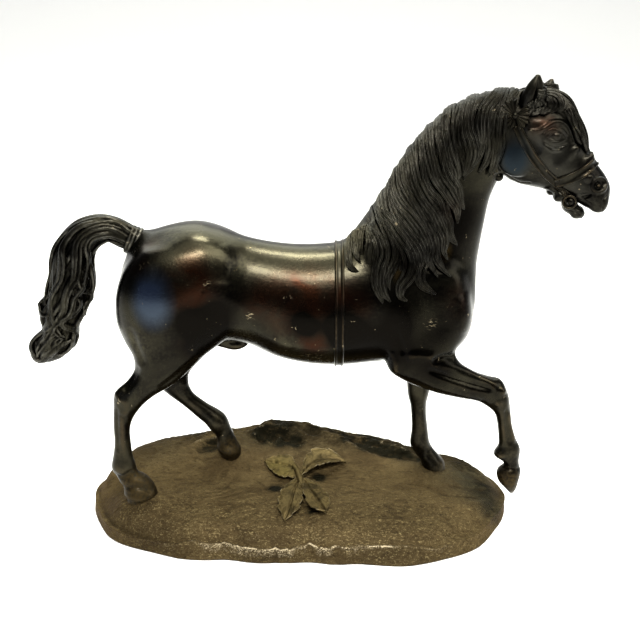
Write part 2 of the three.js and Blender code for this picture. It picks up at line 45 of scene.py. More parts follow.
# The horse's sections
# each row: upper x, upper z, lower x, lower z, half width, middle y
horseForm = {
    "trunk": [
        (-116, 167, -115.8, 152, 8, 0), (-111.3, 186, -112.5, 136, 18, 0),
        (-101, 200.5, -105, 127, 26, 0), (-86, 207.4, -88, 122, 30.5, 0), (-66, 210.8, -66, 124.5, 32, 0),
        (-48, 206.8, -50, 131.5, 30.5, 0), (-32, 200.6, -33, 130, 28.5, 0),
        (-12, 196.7, -13, 120.8, 30.5, 0), (8, 195.7, 8, 116.3, 32.5, 0), (30, 197.6, 30, 115.3, 32, 0),
        (50, 203, 50, 116.8, 29.5, 0), (70, 207, 70, 118.5, 28, 0), (90, 199, 91, 122.5, 26, 0),
        (104.5, 185, 107, 131, 20.5, 0), (111.8, 175, 112.6, 142, 12.5, 0),
        (115.3, 165, 115.3, 152, 6, 0)],
    "neck": [
        (30, 190, 108, 146, 20, 0), (38.5, 207.5, 114.6, 168, 20.5, 0), (55, 231, 116.8, 190, 18, 0),
        (67.3, 253.7, 119.3, 209, 15, -0.5), (81.8, 271, 122.3, 227, 13, -1),
        (99, 285, 128, 240, 12, -1.5), (117, 291.5, 135, 243, 12, -2), (134, 294, 146, 250, 11, -2)],
    "skull": [
        (2, 288, -4, 262, 9, 0), (13, 289, -1.5, 242, 13, 0), (24, 287, 6, 236.5, 14.5, 0),
        (34, 280, 15, 234.5, 14, 0), (42, 268, 23.5, 233, 11.6, 0), (47.2, 257.5, 30.5, 231, 9.6, 0),
        (52.5, 251, 37.5, 229, 9, 0), (58.8, 243.5, 44, 225.5, 9.2, 0), (62.6, 236.5, 49.5, 222.5, 9, 0),
        (63.0, 229, 55, 220, 7.2, 0), (61.6, 222.5, 58.5, 219.6, 4, 0)],
    "jaw": [
        (31, 238, 23, 233.5, 7.5, 0), (37.5, 231, 32.5, 227.5, 7, 0), (42.5, 226.5, 35.5, 220.5, 6.4, 0),
        (46.5, 222, 41, 217.2, 5.6, 0), (49.2, 219, 47, 215.2, 3.6, 0)],
    "ear": [
        (4.2, 283, 18, 285.5, 3.8, 7), (6, 290.5, 18.6, 292, 3.8, 7.6), (9.4, 297.3, 18.4, 297.5, 2.8, 8),
        (14, 302.9, 16.2, 302.7, 0.8, 8.2)],
    # the far ear leans forward
    "farEar": [
        (8.8, 280, 22.6, 282.5, 3.8, 7), (11.6, 287.5, 24.2, 289, 3.8, 7.6),
        (16.6, 294.3, 25.6, 294.5, 2.8, 8), (22.6, 299.3, 24.4, 299.3, 0.8, 8.2)],
    "forelock": [
        (-7, 293.4, -3, 280, 7, 0), (5, 294.6, 6, 280, 8, 0), (14, 293, 14, 280, 9, 0),
        (25.5, 292.3, 22, 279, 9.5, 0), (33.5, 288, 28, 274, 9, 0), (40, 277.6, 35, 268.5, 7, 0),
        (45.7, 267, 40.5, 261, 4.5, 0), (47.6, 258.5, 45.5, 255, 2, 0)],
    "nearHind": [
        (-97, 193, -54, 191, 9, -14), (-110.5, 172, -45, 169, 15, -17.5),
        (-114.5, 152, -47, 149, 15.5, -18), (-111, 138, -55.5, 133, 14, -18.5),
        (-105.5, 127, -67.5, 120, 11.5, -20), (-105.2, 117.5, -80, 108.5, 9.2, -21),
        (-110.5, 109.5, -93, 100.5, 7.6, -21.5), (-118.5, 102, -101, 94, 7, -22),
        (-120, 91, -108, 85, 6.2, -22), (-120.8, 79, -111, 76, 5, -22), (-121, 66, -111, 65, 4.7, -22),
        (-122.5, 57, -110.5, 57.5, 5.2, -22), (-124, 48.5, -109, 51, 6.4, -22),
        (-120.5, 41.5, -107.5, 45, 5.6, -22), (-118, 36, -102, 41.5, 7.2, -22),
        (-115.5, 30, -96.5, 33.5, 8.6, -22), (-113.5, 20, -94, 20, 9.2, -22)],
    "farHind": [
        (-97, 193, -50, 191, 9, 14), (-108, 172, -41, 169, 15, 17.5), (-107, 152, -43, 147, 15, 18),
        (-101, 135, -52, 129, 13.5, 18.5), (-98, 119, -65.5, 112.5, 11, 19),
        (-101, 106, -75.5, 101, 8.8, 19.5), (-103, 97, -77, 92.5, 7.2, 20), (-93, 86, -76, 88, 6.2, 20),
        (-80.8, 76, -73.2, 83.2, 5.2, 20), (-70.7, 66.5, -64.5, 76.2, 5, 20),
        (-62.5, 59, -56.2, 70.5, 6.2, 20), (-58.5, 52.5, -50, 61, 5.4, 20),
        (-57, 45.5, -46, 51.5, 6.8, 20), (-55, 37, -43, 42, 8, 20), (-53, 27, -42, 27, 8.2, 20)],
    "nearFore": [
        (60, 186, 104, 178, 10, -13), (56, 162, 109, 156, 12.5, -16), (57, 140, 105.5, 139, 12.5, -18.5),
        (58.5, 120.5, 101.5, 130, 11.5, -20.5), (68, 111.8, 104.5, 123, 10, -21.5),
        (88, 103.5, 110, 119, 8.6, -22), (104, 99.5, 116.5, 115.5, 7.6, -22), (117, 97, 124, 113, 7, -22),
        (125, 92.5, 132.2, 110.5, 7, -22), (129.5, 88, 137.2, 101, 6.8, -22),
        (131.5, 82, 139, 92, 5.8, -22), (133, 73, 140.6, 80, 4.9, -22), (133.5, 65, 144, 69.5, 5, -22),
        (130.8, 58, 147.3, 62, 6.1, -22), (138.2, 51.5, 147, 53, 5.1, -22),
        (133.8, 46, 148.6, 46, 6.8, -22), (134.8, 39, 147.5, 39, 7.4, -22),
        (140, 33, 146.3, 33.5, 5, -22), (143, 29.5, 144.5, 29.5, 1.8, -22)],
    "farFore": [
        (60, 186, 104, 178, 10, 13), (57, 162, 109, 156, 12.5, 16), (61, 140, 106, 139, 12.5, 18),
        (66, 124, 101, 124, 10.5, 19), (71, 112, 96, 112, 8.8, 19.5), (74, 102, 92.5, 102, 7.4, 20),
        (75.5, 93, 91.5, 93, 7, 20), (76.5, 84, 90.5, 85, 6.6, 20), (78.5, 76, 89, 77, 5.5, 20),
        (79.5, 67, 89.2, 68, 4.9, 20), (80, 57, 90.6, 57, 5, 20), (79.3, 46, 92, 48, 6, 20),
        (83, 38.5, 94.5, 42.5, 5.4, 20), (86.5, 34, 99, 37, 7, 20), (88, 28, 103.5, 30.5, 8.3, 20),
        (88.5, 18, 105, 18, 8.6, 20)],
    "tail": [
        (-88, 201.5, -97, 188, 6, 0), (-100, 206, -108, 189.5, 7.4, 0),
        (-111, 210.2, -115.5, 194.5, 7, 0), (-124, 214.4, -122, 198, 7.4, 0),
        (-138, 212, -128, 195.5, 8.5, 0), (-149.5, 203.5, -133, 187.5, 10, 0),
        (-157.5, 191, -133.5, 178, 11, 0), (-160.5, 177, -134, 168, 12, 0),
        (-163.5, 163, -137.5, 156.5, 12, 0), (-171, 150.5, -142.5, 145, 11, 0),
        (-169.5, 140, -146.5, 135, 10, 0), (-174.5, 128, -148.8, 126, 8.5, 0),
        (-179, 121, -155, 118, 6, 0), (-177, 114, -166, 114, 2.5, 0)],
    "sheath": [
        (-58, 136, -60, 128.5, 6, 0), (-49, 134, -50, 125.6, 5.5, 0), (-43, 132, -43, 123.8, 5, 0),
        (-38, 131, -37.4, 124.6, 4, 0), (-33.5, 130, -33, 127.2, 2, 0)],
    "headTurn": math.radians(12),   # the head looks a little towards the viewer
    "poll": (132, -2),
}


# Forms from sections
def smooth(low, high, value):
    t = np.clip((value - low) / (high - low), 0, 1)
    return t * t * (3 - 2 * t)


def smoothRows(rows, at):
    rows = np.asarray(rows, float)
    i = np.clip(at.astype(int), 0, len(rows) - 2)
    u = (at - i)[:, None]
    pick = lambda k: rows[np.clip(k, 0, len(rows) - 1)]
    a, b, c, d = pick(i - 1), pick(i), pick(i + 1), pick(i + 2)
    return b + 0.5 * u * (c - a + u * (2 * a - 5 * b + 4 * c - d + u * (3 * (b - c) + d - a)))


def oval(section, angle, grow, egg=0.0):
    # points round oval sections; grow moves them out, and egg narrows the upper half
    ux, uz, lx, lz, half, middle = section
    up, across = np.cos(angle), np.sin(angle)
    reach = np.hypot(ux - lx, uz - lz) / 2
    stretch = (reach + grow) / reach
    side = across * (half + grow) * (1 - egg * up)
    return np.stack([(ux + lx) / 2 + (ux - lx) / 2 * up * stretch, middle + side,
                     (uz + lz) / 2 + (uz - lz) / 2 * up * stretch], -1)


def sectionRings(rows, at, sides=48, egg=0.0, grow=0.0):
    angle = np.linspace(0, 2 * math.pi, sides, endpoint=False)[None]
    grow = np.broadcast_to(np.asarray(grow, float), (len(at),))[:, None]
    return oval(smoothRows(rows, at).T[:, :, None], angle, grow, egg)


def onLoft(rows, at, angle, grow):
    # points on a loft, each at its own row and angle
    return oval(smoothRows(rows, at).T, angle, grow)


def closed(rings):
    # one closed skin of triangles over a row of rings
    count, sides = rings.shape[:2]
    points = np.vstack([rings.reshape(-1, 3), rings[0].mean(0), rings[-1].mean(0)])
    r, k = np.meshgrid(np.arange(count - 1), np.arange(sides), indexing="ij")
    n = (k + 1) % sides
    a, b, c, d = r * sides + k, r * sides + n, (r + 1) * sides + n, (r + 1) * sides + k
    walls = np.stack([a, b, c, a, c, d], -1).reshape(-1, 3)
    k = np.arange(sides)
    n = (k + 1) % sides
    last = (count - 1) * sides
    caps = np.vstack([np.stack([np.full(sides, len(points) - 2), n, k], -1),
                      np.stack([np.full(sides, len(points) - 1), last + k, last + n], -1)])
    return outward(points, np.vstack([walls, caps]))


def outward(points, faces):
    # turns the faces round where they look inward
    p = points - points.mean(0)
    volume = np.einsum("ij,ij->i", p[faces[:, 0]], np.cross(p[faces[:, 1]], p[faces[:, 2]])).sum()
    if faces.shape[1] == 4:
        volume += np.einsum("ij,ij->i", p[faces[:, 0]], np.cross(p[faces[:, 2]], p[faces[:, 3]])).sum()
    return points, (faces if volume > 0 else faces[:, ::-1])


def loft(rows, steps=8, start=0, stop=None, **shape):
    stop = len(rows) - 1 if stop is None else stop
    return closed(sectionRings(rows, np.linspace(start, stop, int((stop - start) * steps) + 1), **shape))


def turned(points, back=False):
    # between the head's own upright plane and the place where the head looks
    angle = horseForm["headTurn"] * (1 if back else -1)
    c, s = math.cos(angle), math.sin(angle)
    px, py = horseForm["poll"]
    p = np.array(points, float)
    if back:
        p = p - (px, py, 0)
    p = np.stack([c * p[..., 0] - s * p[..., 1], s * p[..., 0] + c * p[..., 1], p[..., 2]], -1)
    return p if back else p + (px, py, 0)


# Modelling clay
def softLower(a, b, blend):
    mix = np.clip(0.5 + 0.5 * (b - a) / blend, 0, 1)
    return b + (a - b) * mix - blend * mix * (1 - mix)


class Clay:
    # distances to the skin, in millimetres, on an even grid: forms are pressed on or cut away softly
    def __init__(self, low, high, voxel, reach):
        self.voxel, self.reach = voxel, reach
        self.first = np.floor(np.array(low) / voxel).astype(int)
        self.shape = np.ceil(np.array(high) / voxel).astype(int) - self.first
        self.depth = np.full(tuple(self.shape), reach, np.float32)

    def window(self, low, high):
        a = np.floor(np.asarray(low) / self.voxel).astype(int) - self.first
        b = np.ceil(np.asarray(high) / self.voxel).astype(int) - self.first + 1
        return np.clip(a, 0, self.shape - 1), np.clip(b, 1, self.shape)

    def press(self, part, a, b, blend, cut):
        view = self.depth[a[0]:b[0], a[1]:b[1], a[2]:b[2]]
        view[...] = -softLower(-view, part, blend) if cut else softLower(view, part, blend)

    def add(self, form, blend=3.0, cut=False):
        points, faces = form
        grid = openvdb.FloatGrid.createLevelSetFromPolygons(
            points.astype(np.float32), triangles=faces.astype(np.uint32),
            transform=openvdb.createLinearTransform(voxelSize=self.voxel), halfWidth=self.reach / self.voxel)
        a, b = self.window(points.min(0) - self.reach, points.max(0) + self.reach)
        part = np.empty(tuple(b - a), np.float32)
        grid.copyToArray(part, ijk=tuple(int(v) for v in a + self.first))
        self.press(part, a, b, blend, cut)

    def ball(self, centre, radii, blend=3.0, tilt=0.0, cut=False):
        # tilt turns the ball in the side view, in degrees
        centre, radii, reach = np.array(centre, float), np.array(radii, float), max(self.reach, blend)
        a, b = self.window(centre - radii.max() - reach, centre + radii.max() + reach)
        x, y, z = [(np.arange(a[k], b[k]) + self.first[k]) * self.voxel - centre[k] for k in range(3)]
        x, y, z = x[:, None, None], y[None, :, None], z[None, None, :]
        c, s = math.cos(math.radians(tilt)), math.sin(math.radians(tilt))
        u, w = c * x + s * z, -s * x + c * z
        near = np.sqrt((u / radii[0]) ** 2 + (y / radii[1]) ** 2 + (w / radii[2]) ** 2)
        steep = np.sqrt((u / radii[0] ** 2) ** 2 + (y / radii[1] ** 2) ** 2
                        + (w / radii[2] ** 2) ** 2) + 1e-6
        part = np.clip(near * (near - 1) / steep, -reach, reach).astype(np.float32)
        self.press(part, a, b, blend, cut)

    def roll(self, path, radius, blend=0.8, cut=False):
        # a roll of clay along a path; radius may change from start to end
        path = polyline(np.array(path, float), 5)
        even = np.linspace(0, 1, 16)
        radius = np.interp(even, np.linspace(0, 1, np.size(radius)), np.atleast_1d(radius))
        reach = radius.max() + min(self.reach, 3.0)
        a, b = self.window(path.min(0) - reach, path.max(0) + reach)
        axes = [(np.arange(a[k], b[k]) + self.first[k]) * self.voxel for k in range(3)]
        spots = np.stack(np.meshgrid(*axes, indexing="ij"), -1).reshape(-1, 3)
        gap, along = fromPath(spots, path)
        part = (gap - np.interp(along, even, radius)).reshape(tuple(b - a)).astype(np.float32)
        self.press(part, a, b, blend, cut)

    def halfSpace(self, point, normal, above=-1000):
        # keeps what lies behind the plane, and all that is lower than the given height
        x, y, z = [(np.arange(self.shape[k]) + self.first[k]) * self.voxel for k in range(3)]
        z = z[z >= above]
        plane = ((x - point[0])[:, None, None] * normal[0] + (y - point[1])[None, :, None] * normal[1]
                 + (z - point[2])[None, None, :] * normal[2])
        view = self.depth[:, :, -len(z):]
        view[...] = np.maximum(view, plane.astype(np.float32))

    def read(self, points):
        # the distance at any place, between the grid's eight nearest
        spot = np.asarray(points) / self.voxel - self.first
        base = np.clip(np.floor(spot).astype(int), 0, self.shape - 2)
        part = np.clip(spot - base, 0, 1)
        total = 0
        for dx in (0, 1):
            for dy in (0, 1):
                for dz in (0, 1):
                    weight = 1
                    for k, d in enumerate((dx, dy, dz)):
                        weight = weight * (part[..., k] if d else 1 - part[..., k])
                    corner = self.depth[base[..., 0] + dx, base[..., 1] + dy, base[..., 2] + dz]
                    total = total + weight * corner
        return total

    def slope(self, points, step=0.8):
        points = np.asarray(points, float)
        parts = []
        for k in range(3):
            move = np.zeros(3)
            move[k] = step
            parts.append(self.read(points + move) - self.read(points - move))
        slope = np.stack(parts, -1)
        return slope / np.maximum(np.linalg.norm(slope, axis=-1, keepdims=True), 1e-6)

    def settle(self, points, lift=0.0, rounds=6):
        # moves points along the slope until they lie at a height over the skin
        lift = np.asarray(lift, float)
        for _ in range(rounds):
            points = points - self.slope(points) * (self.read(points) - lift)[..., None] * 0.85
        return points, self.slope(points)

    def faceOn(self, x, z, side, lift=0.0, start=46, stop=-2, step=0.5):
        # where a line of sight from one side meets the skin
        deep = np.array([np.full(np.shape(x), y) for y in np.arange(start, stop, -step)]) * side
        spots = np.stack([np.broadcast_to(x, deep.shape), deep, np.broadcast_to(z, deep.shape)], -1)
        inside = self.read(spots) < 0
        first = np.where(inside.any(0), inside.argmax(0), len(deep) - 1)
        y = np.take_along_axis(deep, first[None], 0)[0]
        return self.settle(np.stack([x, y, z], -1), lift)

    def skin(self, rounds=2):
        limit = 3 * self.voxel
        grid = openvdb.FloatGrid(limit)
        grid.copyFromArray(np.clip(self.depth, -limit, limit), ijk=tuple(int(v) for v in self.first),
                           tolerance=1e-5)
        grid.transform = openvdb.createLinearTransform(voxelSize=self.voxel)
        points, quads = grid.convertToQuads(isovalue=0.0)
        points, quads = outward(np.asarray(points, float), np.asarray(quads, np.int64))
        return relaxed(points, quads, rounds), quads


def around(points, quads):
    # the mean of each point's neighbours
    a = quads.ravel()
    b = np.roll(quads, -1, 1).ravel()
    count = np.bincount(a, minlength=len(points)) + np.bincount(b, minlength=len(points))
    total = [np.bincount(a, points[b, k], len(points)) + np.bincount(b, points[a, k], len(points))
             for k in range(3)]
    return np.stack(total, -1) / np.maximum(count, 1)[:, None]


def relaxed(points, quads, rounds):
    # smooths without shrinking: each round moves points in and then out again
    for _ in range(rounds):
        for share in (0.5, -0.52):
            points = points + share * (around(points, quads) - points)
    return points


def facing(points, faces):
    # the direction in which the skin faces at each point, over quads or triangles
    p = points[faces]
    corners = faces.shape[1]
    if corners == 4:
        normal = np.cross(p[:, 2] - p[:, 0], p[:, 3] - p[:, 1])
    else:
        normal = np.cross(p[:, 1] - p[:, 0], p[:, 2] - p[:, 0])
    total = np.stack([sum(np.bincount(faces[:, c], normal[:, k], len(points)) for c in range(corners))
                      for k in range(3)], -1)
    return total / np.maximum(np.linalg.norm(total, axis=1, keepdims=True), 1e-9)


def ridges(points, quads, rounds=3):
    # over 0 on raised edges and under 0 in hollows
    normal = facing(points, quads)
    bend = ((points - around(points, quads)) * normal).sum(1)
    for _ in range(rounds):
        bend = around(np.repeat(bend[:, None], 3, 1), quads)[:, 0]
    return bend


def polyline(path, steps=8):
    return smoothRows(path, np.linspace(0, len(path) - 1, (len(path) - 1) * steps + 1))


def fromPath(spots, path):
    # distance from each spot to a path, and how far along it the nearest place is, from 0 to 1
    start, run = path[:-1], np.diff(path, axis=0)
    t = ((spots[:, None] - start[None]) * run[None]).sum(-1) / np.maximum((run ** 2).sum(-1), 1e-9)[None]
    t = np.clip(t, 0, 1)
    gap = np.linalg.norm(spots[:, None] - (start[None] + run[None] * t[..., None]), axis=-1)
    best = gap.argmin(1)
    rows = np.arange(len(spots))
    return gap[rows, best], (best + t[rows, best]) / len(start)


def sculpt(points, quads, strokes):
    # each stroke: side, height (under 0 cuts in), half width, path in the side view
    normal = facing(points, quads)
    lift = np.zeros(len(points))
    for side, height, width, path in strokes:
        path = polyline(path)
        low, high = path.min(0) - 3 * width, path.max(0) + 3 * width
        flat = points[:, [0, 2]]
        hit = ((flat > low) & (flat < high)).all(1) & (points[:, 1] * side > -1)
        hit = np.nonzero(hit & (normal[:, 1] * side > 0.05))[0]
        gap, along = fromPath(flat[hit], path)
        taper = np.sqrt(np.clip(np.minimum(along, 1 - along) / 0.22, 0, 1))
        faces = np.clip(normal[hit, 1] * side * 2.2, 0, 1)
        lift[hit] += height * np.exp(-(gap / width) ** 2) * taper * faces
    return points + normal * lift[:, None]


# Carved hair and straps
def tubeRings(centres, outs, widths, heights, edges):
    # rings along many paths at once: centres and outs (paths, stations, 3), widths and heights
    # (paths, stations). edges gives the profile as pairs across and up
    run = np.gradient(centres, axis=1)
    run /= np.maximum(np.linalg.norm(run, axis=-1, keepdims=True), 1e-9)
    across = np.cross(run, outs)
    across /= np.maximum(np.linalg.norm(across, axis=-1, keepdims=True), 1e-9)
    up = np.cross(across, run)
    return (centres[:, :, None] + across[:, :, None] * (widths[:, :, None, None] * edges[:, :1])
            + up[:, :, None] * (heights[:, :, None, None] * edges[:, 1:]))


def roundEdge(sides):
    angle = np.linspace(0, 2 * math.pi, sides, endpoint=False)
    return np.stack([np.cos(angle), np.sin(angle)], -1)


def sweep(centres, outs, widths, heights, sides=10, edges=None):
    # closed ridges along many paths
    edges = roundEdge(sides) if edges is None else np.asarray(edges, float)
    count, stations = centres.shape[:2]
    sides = len(edges)
    points = tubeRings(centres, outs, widths, heights, edges).reshape(-1, 3)
    j, r, k = np.meshgrid(np.arange(count), np.arange(stations - 1), np.arange(sides), indexing="ij")
    n = (k + 1) % sides
    base = j * stations * sides
    walls = np.stack([base + r * sides + k, base + r * sides + n, base + (r + 1) * sides + n,
                      base + (r + 1) * sides + k], -1).reshape(-1, 4)
    j = np.arange(count)[:, None] * stations * sides
    order = np.arange(sides)[None]
    starts, stops = j + order[:, ::-1], j + (stations - 1) * sides + order
    worth = np.broadcast_to(np.clip(edges[:, 1], 0, 1)[None, None], (count, stations, sides)).reshape(-1)
    return points, [walls[:, ::-1], starts[:, ::-1], stops[:, ::-1]], worth


def strandEdge(lines, depth=0.6):
    # a round strand with fine lines engraved along it
    across = np.linspace(-1, 1, lines * 4 + 1)
    arch = np.abs(np.sin(np.linspace(0, lines * math.pi, len(across)))) ** 0.7
    up = np.sqrt(1 - (0.96 * across) ** 2) * (1 - depth * (1 - arch))
    return np.vstack([np.stack([across, up], -1), [(0.75, -0.7), (-0.75, -0.7)]])


def makePiece(name, parts, material, node, ridge):
    # parts are (points, faces) with faces as one array or several of different sizes;
    # ridge is a value for each point, high where the bronze is worn bright
    allPoints, allFaces, offset = [], [], 0
    for points, faces in parts:
        for block in (faces if isinstance(faces, list) else [faces]):
            allFaces += (block + offset).tolist()
        allPoints.append(points)
        offset += len(points)
    mesh = bpy.data.meshes.new(name)
    mesh.from_pydata((np.vstack(allPoints) * metre).tolist(), [], allFaces)
    mesh.validate()
    mesh.shade_smooth()
    mesh.attributes.new("ridge", "FLOAT", "POINT").data.foreach_set("value", np.asarray(ridge, np.float32))
    mesh.materials.append(material)
    piece = bpy.data.objects.new(name, mesh)
    bpy.context.collection.objects.link(piece)
    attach(piece, "root")
    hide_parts(node)
    triangles = sum(len(face) - 2 for face in allFaces)
    print("piece", name, triangles, "triangles")


# Bronze
class Wire:
    # a socket that takes part in Python arithmetic
    def __init__(self, paint, socket):
        self.paint, self.socket = paint, socket

    def __add__(self, other):
        return self.paint.math("ADD", self, other)

    def __radd__(self, other):
        return self.paint.math("ADD", other, self)

    def __sub__(self, other):
        return self.paint.math("SUBTRACT", self, other)

    def __rsub__(self, other):
        return self.paint.math("SUBTRACT", other, self)

    def __mul__(self, other):
        return self.paint.math("MULTIPLY", self, other)

    def __rmul__(self, other):
        return self.paint.math("MULTIPLY", other, self)


class Paint:
    def __init__(self, name):
        self.material = bpy.data.materials.new(name)
        self.material.use_nodes = True
        self.tree = self.material.node_tree
        self.tree.nodes.clear()
        self.place = self.node("ShaderNodeTexCoord", output="Object")

    def node(self, kind, settings=None, output=0, **sockets):
        # sockets are named by their own names, or s0, s1, ... by their place
        node = self.tree.nodes.new(kind)
        for key, value in (settings or {}).items():
            setattr(node, key, value)
        for key, value in sockets.items():
            socket = node.inputs[int(key[1:]) if key[1:].isdigit() else key.replace("_", " ")]
            if isinstance(value, Wire):
                self.tree.links.new(value.socket, socket)
            else:
                socket.default_value = value
        return Wire(self, node.outputs[output]) if len(node.outputs) else None

    def math(self, operation, a, b=0.0, clamp=False):
        return self.node("ShaderNodeMath", {"operation": operation, "use_clamp": clamp}, s0=a, s1=b)

    def clamp(self, value):
        return self.math("ADD", value, 0.0, clamp=True)

    def mix(self, share, a, b):
        a, b = [(*c, 1) if isinstance(c, tuple) else c for c in (a, b)]
        return self.node("ShaderNodeMix", {"data_type": "RGBA", "clamp_factor": True}, output=2,
                         s0=share, s6=a, s7=b)

    def noise(self, scale, detail=4.0, rough=0.55, warp=0.0, place=None):
        return self.node("ShaderNodeTexNoise", Vector=place or self.place, Scale=scale, Detail=detail,
                         Roughness=rough, Distortion=warp)

    def step(self, value, low, high):
        # smooth change from 0 to 1
        return self.node("ShaderNodeMapRange", {"interpolation_type": "SMOOTHSTEP"},
                         s0=value, s1=low, s2=high, s3=0.0, s4=1.0)

    def stretch(self, scale, turn=(0.0, 0.0, 0.0)):
        return self.node("ShaderNodeMapping", Vector=self.place, Scale=scale, Rotation=turn)

    def near(self, centre, radius, stretch=(1.0, 1.0, 1.0)):
        # 1 at a place on the object, given in millimetres, falling to 0 at the radius
        scaled = self.node("ShaderNodeVectorMath", {"operation": "MULTIPLY"}, s0=self.place, s1=stretch)
        spot = tuple(c * metre * s for c, s in zip(centre, stretch))
        gap = self.node("ShaderNodeVectorMath", {"operation": "DISTANCE"}, output="Value",
                        s0=scaled, s1=spot)
        return self.step(gap, radius * metre, 0.0)

    def places(self, spots, stretch=(1.0, 1.0, 1.0)):
        # several places together, each with its middle, radius and, where it is given, strength
        total = 0.0
        for centre, radius, *strength in spots:
            place = self.near(centre, radius, stretch)
            total = (place * strength[0] if strength else place) + total
        return total

    def finish(self, color, roughness, height, depth, metallic=1.0, coat=0.0, edge=(1.0, 1.0, 1.0)):
        # depth is the relief of the bump in millimetres, edge the tint where the metal is seen aslant
        bump = self.node("ShaderNodeBump", Strength=1.0, Distance=depth * metre, Height=height)
        shader = self.node("ShaderNodeBsdfPrincipled", Base_Color=color, Roughness=roughness,
                           Metallic=metallic, Normal=bump, Coat_Weight=coat, Coat_Roughness=0.2,
                           Specular_Tint=(*edge, 1.0))
        self.node("ShaderNodeOutputMaterial", Surface=shader)
        return self.material


darkPatina = {
    "ground": (0.0044, 0.0038, 0.0030), "olive": (0.0160, 0.0146, 0.0096),
    "mahogany": (0.0190, 0.0070, 0.0032), "black": (0.0018, 0.0014, 0.0009),
    "cheekReflectionBlue": (0.0082, 0.0118, 0.0150), "grey": (0.0210, 0.0200, 0.0165), "legs": (0.0250, 0.0215, 0.0130),
    "gold": (0.27, 0.22, 0.14), "worn": (0.058, 0.042, 0.023), "hoof": (0.040, 0.027, 0.0105),
    "hairWorn": (0.088, 0.083, 0.068), "gilt": (0.070, 0.046, 0.016),
    "paintedSheen": (0.032, 0.029, 0.018), "haunchReflectionBlue": (0.024, 0.032, 0.045),
    # places rubbed to reddish brown: middle in mm, radius, strength
    "rubbed": [((4, -30, 166), 34, 1.0), ((12, -30, 139), 15, 0.9), ((-24, -30, 168), 18, 0.6),
               ((-64, -32, 182), 26, 0.8), ((-66, -32, 170), 20, 0.7), ((-62, -30, 138), 18, 0.4),
               ((100, -20, 165), 18, 0.5), ((96, -18, 222), 12, 0.6), ((-92, -20, 190), 20, 0.6),
               ((34, -30, 166), 20, 0.7), ((150, -16, 271), 13, 0.6)],
    # bare nicks: middle, radius
    "nicks": [((-75, -30, 176), 7), ((-56, -30, 178), 6), ((-79, -28, 202), 5), ((-92, -26, 189), 6),
              ((-6, -32, 169), 7), ((-29, -30, 156), 5), ((-67, -30, 136), 4), ((-100, 10, 160), 14),
              ((20, 30, 170), 16), ((10, -20, 124), 16), ((84, -26, 152), 9)],
    # olive gold that shows deep between the locks of the mane
    "gilded": [((67, -24, 182), 9), ((93, -23, 196), 9), ((105, -14, 254), 7), ((97, -17, 231), 7)],
    # painted shade: near black where the lower bronze would reflect a dark room, on the barrel, stifles,
    # chest and under the mane: middle, radius
    "paintedShade": [((104, -12, 216), 24), ((94, -14, 198), 20), ((2, -32, 154), 15), ((24, -32, 154), 15),
                  ((42, -30, 136), 28), ((34, -32, 150), 20), ((66, -30, 134), 30), ((62, -28, 158), 22),
                  ((-64, -34, 138), 24), ((-60, -34, 156), 19), ((-50, -30, 146), 16),
                  ((-46, -32, 162), 19), ((-70, -34, 156), 15), ((30, -32, 142), 20), ((8, -34, 150), 14),
                  ((90, -26, 120), 20), ((92, -20, 146), 20)],
    # painted blue reflection of the blue lamp on the front left, on the cheek and the haunch: middle,
    # radius, tone
    "paintedBlueReflection": [((133, -22, 252), 17, "cheekReflectionBlue"), ((-89, -34, 169), 22, "haunchReflectionBlue")],
    # painted sheen: olive reflection of the lights above along the back, and of the pale floor under the
    # belly
    "paintedSheenPlaces": [((-66, -12, 208), 34), ((-44, -22, 194), 27), ((-62, -26, 190), 24),
                ((-20, -12, 200), 26), ((6, -12, 199), 28), ((32, -12, 201), 26), ((-6, -22, 130), 22),
                ((22, -22, 126), 20), ((-34, -22, 138), 14), ((-100, -22, 140), 22)],
    # greyer places on the face and neck
    "greyed": [((158, -12, 254), 17), ((166, -10, 246), 12), ((176, -10, 236), 16),
               ((150, -14, 264), 12)],
    # brown hooves: middle, radius
    "hooves": [((-105, -26, 32), 24), ((-49, 18, 40), 18), ((141, -22, 40), 14), ((97, 20, 28), 12)],
}


